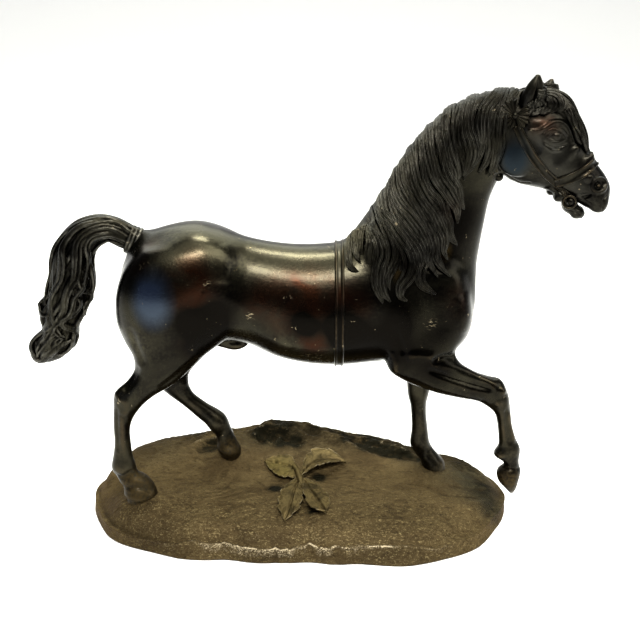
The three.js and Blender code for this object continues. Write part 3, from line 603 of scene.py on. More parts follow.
def patina(name, shine, hair=False, wearAt=0.5, dust=0.0, turn=0.0, highest=0.4):
    # shine is the roughness, wearAt the ridge value that is worn, dust the share of grey;
    # turn leans the single hairs, which start under the height highest, in metres
    tones = darkPatina
    paint = Paint(name)
    cloud = paint.noise(28.0, 5.0, 0.6, 0.4)
    fine = paint.noise(520.0, 4.0, 0.65)
    color = paint.mix(paint.step(cloud, 0.36, 0.66), tones["ground"], tones["olive"])
    color = paint.mix(paint.step(fine, 0.45, 0.66) * 0.45, color, tones["olive"])
    # painted sheen: the olive reflection is mixed into the colour in the given places
    paintedSheen = paint.clamp(paint.places(tones["paintedSheenPlaces"]) * 1.5)
    color = paint.mix(paintedSheen * paint.step(cloud + fine * 0.4, 0.50, 0.80), color, tones["paintedSheen"])
    if dust:
        color = paint.mix(paint.step(cloud + fine * 0.5, 0.55, 0.90) * dust, color, tones["grey"])
    rub = paint.places(tones["rubbed"])
    if hair:
        rub = rub * 0.5
    blotch = paint.step(paint.noise(60.0, 4.0, 0.6, 0.4), 0.22, 0.66)
    color = paint.mix(paint.clamp(rub * 1.3) * blotch, color, tones["mahogany"])
    if not hair:
        # painted shade, near black in the given places
        paintedShadeMask = paint.places(tones["paintedShade"], (1.0, 0.6, 1.0))
        color = paint.mix(paint.clamp(paintedShadeMask * (0.35 + cloud * 1.6)), color, tones["black"])
    # painted blue reflection on the cheek and the haunch
    for centre, radius, tone in tones["paintedBlueReflection"]:
        paintedBlueReflection = paint.near(centre, radius, (1.25, 0.8, 0.9)) * (1.1 + fine * 1.2) * (0.7 + cloud * 0.6)
        color = paint.mix(paint.clamp(paintedBlueReflection), color, tones[tone])
    color = paint.mix(paint.clamp(paint.places(tones["greyed"]) * 1.5), color, tones["grey"])
    tall = paint.node("ShaderNodeSeparateXYZ", output="Z", Vector=paint.place)
    low = paint.step(tall, 0.125, 0.045)
    color = paint.mix(low * paint.step(cloud + fine * 0.5, 0.55, 0.95), color, tones["legs"])
    ridge = paint.node("ShaderNodeAttribute", {"attribute_name": "ridge"}, output="Fac")
    if hair:
        color = paint.mix(paint.step(ridge, 0.66, 0.34) * 0.92, color, tones["black"])
    wearFrom, wearTo, wearShare = (0.75, 1.25, 0.75) if hair else (0.35, 1.6, 0.7)
    wear = paint.step(ridge, wearAt * wearFrom, wearAt * wearTo)
    wear = wear * paint.step(paint.noise(60.0, 5.0, 0.7), 0.36, 0.66)
    color = paint.mix(paint.clamp(wear * wearShare), color, tones["hairWorn" if hair else "worn"])
    streaks = paint.noise(260.0, 2.0, 0.5, 1.6, place=paint.stretch((1.0, 1.0, 2.6), (0.0, 0.7, 0.0)))
    nick = paint.step(streaks, 0.60, 0.66) * paint.step(paint.places(tones["nicks"]), 0.12, 0.6)
    speck = paint.step(paint.noise(330.0, 2.0, 0.5, 0.8), 0.735, 0.76) * 0.5
    bare = paint.clamp(nick * 0.8 + speck)
    color = paint.mix(bare, color, tones["gold"])
    hoof = paint.step(paint.places(tones["hooves"]), 0.05, 0.45)
    color = paint.mix(hoof * paint.step(fine, 0.25, 0.7), color, tones["hoof"])
    if not hair:
        gilded = paint.clamp(paint.places(tones["gilded"]) * 1.2)
        color = paint.mix(gilded * paint.step(cloud + fine * 0.4, 0.45, 0.72), color, tones["gilt"])
    roughness = shine + (cloud - 0.5) * 0.16 + (fine - 0.5) * 0.12 - wear * 0.04 + hoof * 0.25 + low * 0.12
    height = fine * 0.7 + cloud * 0.6 - bare * 0.4
    if hair:
        hairs = paint.noise(520.0, 3.0, 0.6, 0.3, place=paint.stretch((1.7, 1.7, 0.22), (0.0, turn, 0.0)))
        down = paint.step(tall, highest, highest - 0.012)
        color = paint.mix(paint.step(hairs, 0.52, 0.36) * down * 0.75, color, tones["black"])
        height = height + hairs * down * 3.0
    return paint.finish(color, roughness, height, 0.12, coat=0.03)


bodyPatina = patina("horse_patina", 0.25)
headPatina = patina("head_patina", 0.35, dust=0.5)
hairPatina = patina("hair_patina", 0.36, hair=True, wearAt=0.8, turn=-0.3)
tailPatina = patina("tail_patina", 0.38, hair=True, wearAt=0.8, turn=0.25, highest=0.200)
strapPatina = patina("strap_patina", 0.32, wearAt=0.9)
print("bronze mixed")

# The body
bodyModel = {
    "voxel": 1.2, "reach": 10.0,
    "low": (-134, -42, 10), "high": (152, 42, 306), "wear": 6,
    # main forms: name, blend, how the sections are lofted
    "main": [("trunk", 0.5, {"sides": 64, "egg": 0.1}), ("neck", 9.0, {"sides": 64}),
             ("nearHind", 6.0, {"sides": 48, "grow": 0.45}), ("farHind", 6.0, {"sides": 48, "grow": 0.45}),
             ("nearFore", 6.0, {"sides": 48, "grow": 0.45}), ("farFore", 6.0, {"sides": 48, "grow": 0.45}),
             ("sheath", 3.0, {"sides": 24}), ("tail", 5.0, {"sides": 32, "stop": 1.0, "grow": -0.5})],
    # raised muscles: middle, radii, tilt, blend
    "muscles": [
        ((-84, -20.4, 165), (25, 15.2, 30), 0, 12),          # near haunch
        ((-84, 20, 165), (24, 14.5, 30), 0, 12),             # far haunch
        ((-62, -14.6, 184), (17, 12.5, 17), -15, 16),        # near hip
        ((-62, 14.6, 184), (17, 12.5, 17), -15, 16),
        ((-62, -20.5, 151), (16, 10.5, 17), 25, 10),         # near stifle
        ((-56, 20.5, 149), (15, 10.5, 17), 25, 10),
        ((66, -19, 150), (12, 8.5, 20), 10, 9),              # near triceps
        ((70, 19, 148), (12, 9, 20), 10, 9),
        ((100, -11, 144), (10, 9, 15), -20, 8),              # near breast
        ((100, 11, 144), (10, 9, 15), -20, 8),
        ((88, -15, 166), (11, 7, 19), -24, 9),               # point of the shoulder
        ((88, 15, 166), (11, 7, 19), -24, 9),
        ((62, -14, 190), (10, 6, 20), 30, 9),                # shoulder blade
        ((62, 14, 190), (10, 6, 20), 30, 9),
        ((-57, 20, 62), (6.2, 6.6, 7.0), 0, 4),              # far hind fetlock and hoof
        ((-49.8, 18.5, 42.4), (8.2, 8.8, 4.6), -10, 3),
        ((-106.4, -22.6, 28.6), (10.6, 9.4, 4.4), -8, 2.5),  # near hind hoof
    ],
    # hollows: middle, radii, tilt, blend
    "hollows": [
        ((117.5, 0, 151), (6, 3.4, 20), 4, 5),        # between the breasts
    ],
}
# strokes of the modelling tool: side, height (under 0 cuts in), half width, path in the side view
bodyStrokes = [
    # near hind leg
    (nearSide, -0.9, 2.2, [(-101, 122), (-107, 112), (-112, 105)]),
    (nearSide, 0.8, 2.4, [(-108, 116), (-114, 107), (-118, 100)]),
    (nearSide, 0.9, 3.0, [(-115, 101), (-110, 95), (-113, 88)]),
    (nearSide, -0.8, 1.5, [(-117, 94), (-118, 78), (-118.5, 62)]),
    (nearSide, 0.5, 1.6, [(-114, 88), (-114.5, 74), (-115, 60)]),
    (nearSide, -1.1, 1.6, [(-122, 45), (-116, 44), (-110, 48)]),
    (nearSide, -1.8, 1.5, [(-119, 35.0), (-111, 36.8), (-103, 36.4), (-97, 32.5)]),
    (nearSide, 0.8, 1.0, [(-118, 25.4), (-107, 23.4), (-94, 25.8)]),
    (nearSide, -0.8, 0.8, [(-117, 28.0), (-106, 26.0), (-94.6, 28.4)]),
    (nearSide, 0.6, 5.0, [(-78, 138), (-88, 126), (-97, 114)]),
    (nearSide, -0.9, 2.6, [(-62, 128), (-76, 117), (-90, 106)]),
    (nearSide, -0.7, 2.6, [(-104, 150), (-101, 136), (-97, 124)]),
    # near haunch and flank
    (nearSide, 0.5, 4.4, [(-47, 200), (-44.5, 189), (-46, 178)]),
    (nearSide, 0.8, 6.5, [(-58, 173), (-42, 165), (-32, 156), (-18, 144), (-3, 134)]),
    # raised foreleg
    (nearSide, -1.9, 1.9, [(83, 122), (98, 116), (112, 111), (125, 107)]),
    (nearSide, 1.2, 2.4, [(92, 124), (107, 119.5), (121, 112.5), (129, 108)]),
    (nearSide, 0.9, 3.0, [(74, 118), (88, 110), (104, 104.5), (120, 100)]),
    (nearSide, -1.7, 2.0, [(86, 126.5), (93, 129.5), (101, 128)]),
    (nearSide, 1.0, 2.6, [(66, 129), (76, 131), (88, 130)]),
    (nearSide, -1.4, 2.4, [(61, 150), (66, 138), (69, 127), (66, 118)]),
    (nearSide, 1.3, 2.6, [(60, 133), (63, 124), (64, 117)]),
    (nearSide, 1.1, 2.2, [(131, 108), (134, 103)]),
    (nearSide, 0.8, 2.0, [(127, 98), (132, 96)]),
    (nearSide, -1.0, 1.3, [(135, 93), (137, 80), (140, 67)]),
    (nearSide, 0.6, 1.3, [(138, 90), (140, 79), (143, 68)]),
    (nearSide, -0.8, 1.0, [(134, 49), (141, 50), (148, 49)]),
    (nearSide, 1.0, 2.0, [(132, 61), (135, 57)]),
    # chest
    (nearSide, -0.4, 4.4, [(92, 182), (97, 170), (99, 159), (95, 146)]),
    (nearSide, 0.6, 4.4, [(104, 168), (107, 156), (105, 143)]),
    # far legs
    (farSide, -0.9, 1.6, [(-58, 47), (-50, 50), (-45, 54)]),
    (farSide, -0.9, 1.6, [(84, 36), (91, 38), (98, 40)]),
    (farSide, 0.9, 2.4, [(80, 95), (83, 88), (84, 80)]),
    (farSide, -1.2, 3.0, [(92, 182), (97, 170), (99, 159), (95, 146)]),
    (farSide, 0.5, 4.6, [(-49, 198), (-47, 189), (-48, 178)]),
    (farSide, 0.8, 6.5, [(-56, 172), (-42, 165), (-32, 156), (-18, 144), (-3, 134)]),
    (farSide, -1.4, 2.4, [(61, 150), (66, 138), (69, 127)]),
]

headModel = {
    "voxel": 0.5, "reach": 6.0, "low": (-14, -24, 206), "high": (72, 24, 305.5), "wear": 9,
    # the head is cast in one with the neck: the two meshes meet under the throat latch, where the
    # body is cut off in front of the seam from the height seamAbove up
    "seam": (-6.2, 0, 257), "seamFacing": (0.993, 0, -0.115), "seamAbove": 205, "overlap": 0.7,
    # on both sides: middle, radii, tilt, blend
    "forms": [
        ((5.0, -9.6, 255.0), (12.0, 4.2, 13.5), 14, 1.4),  # round cheek
        ((18, -11.0, 271.5), (8.5, 2.6, 5.4), -10, 3.4),   # temple and brow
        ((32, -9.0, 252), (13, 2.4, 3.0), 42, 2.4),        # facial crest
        ((46, -4.8, 250), (8, 2.6, 3.0), 50, 2.4),         # nose bone
        ((49.5, -8.0, 242.0), (2.8, 1.8, 2.4), 30, 1.4),   # bump behind the nostril
        ((55.9, -5.4, 227), (5.8, 3.2, 6.5), 12, 2.4),     # upper lip
        ((44.5, -2.5, 219), (4.2, 3.6, 3.4), 30, 1.6),     # lower lip
        ((33.5, -4.5, 229.5), (4.5, 3.6, 3.2), 30, 1.6),   # chin
    ],
    "hollows": [
        ((27.8, -14.4, 267.4), (5.0, 2.6, 3.2), -6, 1.6),     # eye socket
        ((36, -14.0, 258.0), (7.5, 2.4, 7.5), 40, 4.5),       # hollow of the face
        ((43, -10.8, 245.0), (8.0, 1.4, 2.6), 50, 2.0),
        ((15.5, -15.2, 262.5), (3.4, 1.8, 6.0), 30, 2.0),
        ((46.5, -7.6, 230.5), (7.0, 1.4, 1.8), 20, 1.2),      # corner of the mouth
    ],
    "eye": (27.8, 10.6, 267.2), "eyeRadii": (3.4, 2.7, 2.7),
    "nostril": (55.6, 237.6), "nostrilRadii": (4.2, 3.9), "rimRadius": 1.0,
    # a hollow in the nostril and a fold in the hollow: x and z from the nostril and y from the middle
    # plane, radii, blend, cut
    "nostrilForms": [((0, 10.6, 0), (3.0, 5.0, 2.7), 0.7, True),
                     ((-0.3, 6.4, -0.2), (1.6, 2.2, 1.4), 0.6, False)],
    # the opening at each row of the ear: where it starts, half width, how far out on the near and far ear
    "earOpening": [(0.62, 2.2, 3.8, 5.0), (0.60, 2.4, 3.8, 5.0), (0.58, 1.9, 3.0, 4.2),
                   (0.55, 0.7, 1.8, 3.0)],
    # rolls of clay laid on the face: radius, blend, cut, path in the side view
    "rolls": [
        # upper and lower lid, brow in a bent ridge, lines beside them
        ((0.4, 0.7, 0.6, 0.3), 0.7, False,
         [(22.6, 266.2), (25.0, 269.4), (28.4, 270.4), (31.8, 268.4), (33.6, 265.4)]),
        ((0.3, 0.6, 0.5, 0.3), 0.6, False, [(22.6, 266.0), (25.4, 264.0), (29.4, 263.4), (33.2, 265.0)]),
        ((0.6, 1.1, 1.3, 1.2, 0.8), 1.4, False,
         [(12.5, 270.4), (17.5, 270.4), (21.5, 272.4), (26.4, 275.4), (31.6, 274.4), (35.2, 270.2),
          (38.4, 263.4)]),
        ((0.3, 0.55, 0.3), 0.5, True,
         [(20.0, 269.2), (23.8, 271.6), (28.0, 272.9), (32.2, 271.4), (35.0, 267.6)]),
        ((0.3, 0.5, 0.3), 0.5, True, [(21.4, 264.0), (25.4, 261.4), (30.4, 260.8), (34.4, 262.2)]),
        ((0.4, 0.7, 0.3), 0.9, False, [(22.0, 261.4), (26.0, 258.6), (31.5, 258.6)]),
        # groove round the cheek
        ((0.5, 0.7, 0.7, 0.5), 0.6, True,
         [(-4.6, 268), (-5.2, 258), (-5.4, 250), (-3.6, 245), (2.5, 240.4), (8.5, 237.6), (14.5, 237.8)]),
        # mouth, lip and nose
        ((0.3, 0.4, 0.3), 0.4, True, [(42.5, 229.3), (47.5, 228.2), (52.0, 226.2)]),
        ((0.3, 0.6, 0.3), 0.6, True, [(60.8, 232.0), (58.8, 228.0), (59.0, 222.5)]),
        ((0.3, 0.5, 0.3), 0.6, True, [(36.5, 223.8), (41.0, 221.0), (46.0, 218.8)]),
        ((0.3, 0.5, 0.3), 0.6, True, [(38.0, 226.8), (42.0, 224.0), (46.5, 221.6)]),
    ],
}


def mirrored(place, side):
    # a place given on the near side, on either side
    return (place[0], place[1] * -side, place[2])


def modelHead():
    model = headModel
    clay = Clay(model["low"], model["high"], model["voxel"], model["reach"])
    neck = loft(horseForm["neck"], sides=64, steps=10, start=4)
    clay.add((turned(neck[0], back=True), neck[1]), 0.5)
    clay.add(loft(horseForm["skull"], sides=64, steps=12), 4.0)
    clay.add(loft(horseForm["jaw"], sides=40, steps=10), 1.2)
    for side in (nearSide, farSide):
        for centre, radii, tilt, blend in model["forms"]:
            clay.ball(mirrored(centre, side), radii, blend, tilt)
        for centre, radii, tilt, blend in model["hollows"]:
            clay.ball(mirrored(centre, side), radii, blend, tilt, cut=True)
        x, y, z = model["eye"]
        clay.ball((x, side * y, z), model["eyeRadii"], 0.3)
        for radius, blend, cut, path in model["rolls"]:
            path = np.array(path)
            spots, _ = clay.faceOn(path[:, 0], path[:, 1], side, -0.15)
            clay.roll(spots, radius, blend, cut)
        # nostril: a round rim with a hollow in it
        angle = np.linspace(0, 2 * math.pi, 17)
        x, z = model["nostril"]
        wide, high = model["nostrilRadii"]
        rim, _ = clay.faceOn(x + wide * np.cos(angle), z + high * np.sin(angle), side, 0.1)
        clay.roll(rim, model["rimRadius"], 0.9)
        for (dx, y, dz), radii, blend, cut in model["nostrilForms"]:
            clay.ball((x + dx, side * y, z + dz), radii, blend, cut=cut)
    clay.add(loft(horseForm["forelock"], sides=32, grow=-1.4), 1.2)
    for side in (nearSide, farSide):
        rows = horseForm["ear" if side == nearSide else "farEar"]
        ear = sectionRings([(*row[:5], row[5] * side) for row in rows], np.linspace(0, 3, 25), sides=32)
        clay.add(closed(ear), 0.8)
        # the ear opens forward and outward behind a rim
        lobe = []
        for row, (share, half, nearOut, farOut) in zip(rows, model["earOpening"]):
            back, front = np.array(row[0:2]), np.array(row[2:4])
            inner, outer = back + (front - back) * share, back + (front - back) * 0.93
            out = nearOut if side == nearSide else farOut
            lobe.append((*inner, *outer, half, side * (row[5] + out)))
        clay.add(closed(sectionRings(lobe, np.linspace(0.35, 2.8, 19), sides=20)), 0.5, cut=True)
    return clay


body = Clay(bodyModel["low"], bodyModel["high"], bodyModel["voxel"], bodyModel["reach"])
for name, blend, shape in bodyModel["main"]:
    body.add(loft(horseForm[name], **shape), blend)
for centre, radii, tilt, blend in bodyModel["muscles"]:
    body.ball(centre, radii, blend, tilt)
for centre, radii, tilt, blend in bodyModel["hollows"]:
    body.ball(centre, radii, blend, tilt, cut=True)
skull = loft(horseForm["skull"], sides=64)
body.add((turned(skull[0]), skull[1]), 4.0)
# the cuts at the seam are for the skins alone: hair and straps are laid on the whole forms
whole = body.depth.copy()
seam, seamFacing = np.array(headModel["seam"]), np.array(headModel["seamFacing"])
turn = horseForm["headTurn"]
turnedFacing = (math.cos(turn) * seamFacing[0], -math.sin(turn) * seamFacing[0], seamFacing[2])
body.halfSpace(turned(seam + seamFacing * headModel["overlap"]), turnedFacing, above=headModel["seamAbove"])
points, quads = body.skin(2)
body.depth = whole
points = sculpt(points, quads, bodyStrokes)
worth = ridges(points, quads) * bodyModel["wear"]
makePiece("horse_body", [(points, quads)], bodyPatina, "horse", worth)

head = modelHead()
whole = head.depth.copy()
head.halfSpace(seam, -seamFacing)
points, quads = head.skin(2)
head.depth = whole
worth = ridges(points, quads) * headModel["wear"]
makePiece("horse_head", [(turned(points), quads)], headPatina, "horse", worth)
print("body and head modelled")

# The mane: each lock runs from the crest by its bends to its point, seen from the near side
mane = {
    "locks": [
        [(36, 206), (34.5, 198), (33, 192), (34, 186), (39, 183.6)],
        [(40, 209), (38.4, 201), (38, 193), (40.4, 188)],
        [(44, 212), (42.6, 205), (41, 198), (41.4, 193)],
        [(46, 215), (49, 207), (52, 201), (53, 194), (51, 184), (50, 176), (54, 165)],
        [(50, 221), (52, 211), (55.4, 203), (57.4, 195), (55, 186), (53, 178), (55, 171), (59, 166)],
        [(51, 226), (54, 214), (58.6, 206), (61.6, 197), (60, 189), (57, 180), (58.6, 173)],
        [(54, 232), (55.6, 219), (61, 208), (67.4, 199), (71, 190), (69.6, 182), (65, 175), (65, 169),
         (69, 166.6)],
        [(58, 239), (59.6, 226), (63, 216), (70, 207), (76.4, 198), (78, 191), (76, 184), (77, 178),
         (81, 174), (87, 170.6)],
        [(62, 246), (62.6, 234), (66, 225), (72, 218), (78, 209), (81.6, 199), (81, 191), (85, 184),
         (88, 181)],
        [(66, 253), (67.4, 239), (72, 229), (77, 220), (82, 212), (85.6, 203), (86.6, 193), (91, 185),
         (96.4, 180.4)],
        [(71, 260), (73, 247), (75, 237), (79, 228), (84.6, 220), (88.6, 212), (92, 204), (91.4, 196),
         (94, 190)],
        [(77, 267), (78, 254), (79.4, 242), (83, 234), (88.6, 228), (91, 220), (94, 213), (95, 207),
         (100.4, 199)],
        [(83, 273), (82.4, 260), (84, 248), (86.6, 240), (91, 234), (95, 228), (98.6, 222), (99.6, 213)],
        [(89, 279), (88, 266), (89, 257), (91, 248), (94, 241), (98.6, 235), (101, 227), (104, 221.6)],
        [(96, 284), (93, 271), (94, 260), (96, 252), (98.6, 243), (97, 237)],
        [(103, 287), (99, 274), (98.4, 264), (101.4, 257), (104, 250), (103, 240)],
        [(110, 290), (105, 279), (104, 270), (106, 263), (107.6, 256), (105.6, 248), (102, 242)],
        [(118, 292), (112, 284), (109, 276), (109.6, 269), (111.6, 262), (110, 254), (108, 247)],
        [(126, 294), (119, 286), (115, 281), (113.6, 274), (113.4, 267), (112, 259)],
        [(129, 294), (123, 287), (119, 279), (117.6, 270), (118.4, 261), (116.4, 252), (112, 244)],
        [(131.6, 293.6), (127, 286), (123.4, 277), (122.4, 268), (122.6, 259), (121, 250), (118, 242)],
    ],
    "halfWidth": 4.3, "strands": 4, "lines": 3, "stations": 34,
    "rootLift": 0.3, "lift": 1.2, "roundness": 1.4, "seeds": (17, 7),
    # half widths and layers of the three short locks over the withers
    "firstWidths": [2.4, 2.4, 2.6], "firstLayers": [-0.4, 0.1, -0.4],
    # the parting along the crest, where the locks start
    "crest": [(36, 206), (46, 219), (55, 232), (67, 254), (82, 271.6), (99, 285.4), (117, 292),
              (131, 294.4)],
}


def combed(paths, outs, halfWidth, strands, roundness, lifts, seed, thick=0.75, tipShare=0.12,
           taperFrom=0.55):
    # splits each lock, a path over the skin, into strands that lie side by side and run to its point
    locks, stations = paths.shape[:2]
    random = np.random.default_rng(seed)
    t = np.linspace(0, 1, stations)
    run = np.gradient(paths, axis=1)
    run /= np.maximum(np.linalg.norm(run, axis=-1, keepdims=True), 1e-9)
    across = np.cross(run, outs)
    across /= np.maximum(np.linalg.norm(across, axis=-1, keepdims=True), 1e-9)
    ending = (t - taperFrom) / (1 - taperFrom)
    fan = np.where(t < taperFrom, 0.75 + 0.25 * np.sin(t / taperFrom * math.pi / 2),
                   tipShare + (1 - tipShare) * np.cos(ending * math.pi / 2) ** 0.8)
    halfWidth = np.broadcast_to(np.asarray(halfWidth, float), (locks,))
    centres, outsAll, widths, heights, lift = [], [], [], [], []
    for k in range(strands):
        s = (2 * k + 1) / strands - 1
        phase = random.uniform(0, 2 * math.pi, locks)[:, None]
        wander = s + 0.5 / strands * np.sin(phase + t[None] * random.uniform(5, 9, locks)[:, None])
        offset = wander * halfWidth[:, None] * fan[None]
        centres.append(paths + across * offset[..., None])
        rise = roundness * np.sqrt(np.clip(1 - (0.92 * s) ** 2, 0, 1)) * (0.35 + 0.65 * fan[None])
        rise = rise + random.uniform(-0.3, 0.3, locks)[:, None] * np.sin(t[None] * 4 + phase)
        lift.append(lifts + rise)
        outsAll.append(outs)
        width = halfWidth[:, None] / strands * 1.25 * (0.45 + 0.55 * fan[None]) * np.ones((locks, 1))
        ends = np.clip(np.minimum(t / 0.04, (1 - t) / 0.12), 0.12, 1)[None] ** 0.7
        widths.append(width * ends)
        heights.append(np.maximum(thick, width) * ends * np.ones((locks, 1)))
    return [np.concatenate(part) for part in (centres, outsAll, widths, heights, lift)]


def resampled(path, stations):
    # a smooth curve through the path's points, at even steps
    path = np.array(path, float)
    dense = smoothRows(path, np.linspace(0, len(path) - 1, 200))
    length = np.concatenate([[0], np.cumsum(np.linalg.norm(np.diff(dense, axis=0), axis=1))])
    at = np.linspace(0, length[-1], stations)
    return np.stack([np.interp(at, length, dense[:, k]) for k in range(dense.shape[1])], -1)


def maneStrands():
    # the drawn locks, and shorter ones between them that lie deeper
    n = mane["stations"]
    pathSeed, strandSeed = mane["seeds"]
    random = np.random.default_rng(pathSeed)
    locks = np.array([resampled(path, n) for path in mane["locks"]])
    shares = random.uniform(0.74, 0.95, len(locks))
    middles = (locks[1:-1] + locks[2:]) / 2
    between = [resampled(path[: int(n * share)], n) for path, share in zip(middles, shares)]
    paths = np.concatenate([locks, between])
    long = len(locks) - len(mane["firstWidths"])
    size = np.concatenate([mane["firstWidths"], mane["halfWidth"] * random.uniform(0.72, 1.12, long),
                           np.full(len(between), mane["halfWidth"] * 0.9)])
    t = np.linspace(0, 1, n)[None]
    rise = mane["rootLift"] + mane["lift"] * np.sin(t * math.pi) ** 0.7
    layers = 1.2 * (np.arange(long) % 2) + random.uniform(-0.2, 0.4, long)
    layer = np.concatenate([mane["firstLayers"], layers, np.full(len(between), -1.3)])[:, None]
    rise = rise + layer * smooth(0.0, 0.12, t) - 2.4 * (1 - smooth(0.02, 0.2, t))
    spots, outs = body.faceOn(paths[..., 0], paths[..., 1], nearSide, 0.6)
    # the roots are drawn over to the parting
    crest = resampled(mane["crest"], 120)
    nearest = crest[np.linalg.norm(crest[None] - paths[:, :1], axis=-1).argmin(1)]
    root = np.stack([nearest[:, 0], np.full(len(paths), 2.0), nearest[:, 1]], -1)[:, None]
    spots = spots + (root - spots) * (1 - smooth(0.0, 0.13, t))[..., None]
    spots, outs = body.settle(spots, 0.6)
    centres, outs, widths, heights, lift = combed(spots, outs, size, mane["strands"], mane["roundness"],
                                                  rise, strandSeed)
    centres, outs = body.settle(centres, lift, 4)
    return sweep(centres, outs, widths, heights, edges=strandEdge(mane["lines"]))


points, faces, worth = maneStrands()
makePiece("mane", [(points, faces)], hairPatina, "horse", worth)

# The forelock curls over the brow: locks beside the head's middle plane, drawn for the near side
forelock = {
    "locks": [
        # behind the ear
        [(10, -3, 292.4), (5, -6.5, 290), (1.6, -9.6, 285.6), (-1, -11.6, 280.6), (-3, -12.6, 274)],
        [(4, -3, 291.6), (-0.4, -6.6, 288.6), (-4, -9.8, 283.6), (-6, -11.4, 277), (-7.4, -12, 269)],
        # the fringe, combed forward and curled back under along its lower edge
        [(16, -3, 294), (24, -4.5, 294.4), (31, -6, 292.6), (35.4, -8, 288.4), (35.6, -10.5, 283.6),
         (32.4, -12, 281.6)],
        [(15, -5, 293.6), (22, -6.5, 293.6), (28, -8, 291.6), (31.6, -10, 287.6), (31, -12, 283.6),
         (27.4, -12.8, 282.4)],
        [(14, -7, 292.8), (19.5, -8.4, 292.4), (24.4, -9.6, 290.4), (27.4, -11, 287.0),
         (26.4, -12.6, 283.8), (22.6, -13, 283.0)],
        [(14, -9, 291.0), (18, -10, 290.2), (21.6, -11.2, 288.2), (22.6, -12.4, 285.4),
         (20.4, -13, 283.0), (16.6, -13, 282.0)],
        [(13, -10.5, 288.6), (16, -11.6, 287.4), (17.4, -12.6, 285.2), (15.4, -13, 282.4),
         (11.6, -13, 280.4)],
        [(10.5, -11.5, 286.4), (12, -12.4, 284.6), (10.4, -13, 281.6), (7.8, -13, 278.2)],
        # down the front of the face
        [(34, -3, 291), (39, -3.5, 285), (43.5, -3.5, 277), (46, -3, 268), (47.5, -2.5, 260),
         (49, -2, 254)],
        [(35, -6, 287.5), (39.5, -7.5, 281), (43, -8, 274.5), (44.6, -7, 267.5), (46.4, -5, 261),
         (47.5, -3.5, 256)],
        [(34, -9, 284), (37.5, -9.6, 279), (40.6, -9.4, 273), (42.6, -8.4, 267), (45, -6.5, 262)],
        [(6, 0, 294), (16, 0, 294.6), (27, 0, 294), (35, 0, 291), (40, 0, 285), (44, 0, 276), (47, 0, 266)],
        [(9, -2.5, 294), (18, -2.5, 294.6), (28, -2.5, 293.6), (36, -2.5, 289.6), (41, -2.5, 282),
         (45, -2.5, 272.5), (47.4, -2, 263)],
    ],
    "halfWidth": 2.3, "strands": 3, "lines": 3, "stations": 24, "roundness": 0.9, "thick": 0.55, "seed": 11,
}


def forelockStrands():
    n = forelock["stations"]
    paths = [resampled(path, n) for path in forelock["locks"]]
    paths += [path * (1, -1, 1) for path in paths if abs(path[:, 1]).max() > 0.1]
    spots, outs = head.settle(np.array(paths), -0.1)
    lifts = 0.3 + 1.1 * np.sin(np.linspace(0, 1, n) * math.pi) * (np.arange(len(paths)) % 2)[:, None]
    centres, outs, widths, heights, lift = combed(spots, outs, forelock["halfWidth"], forelock["strands"],
                                                  forelock["roundness"], lifts, forelock["seed"],
                                                  thick=forelock["thick"])
    centres, outs = head.settle(centres, lift, 4)
    return sweep(centres, outs, widths, heights, edges=strandEdge(forelock["lines"]))


points, faces, worth = forelockStrands()
makePiece("forelock", [(turned(points), faces)], hairPatina, "horse", worth)

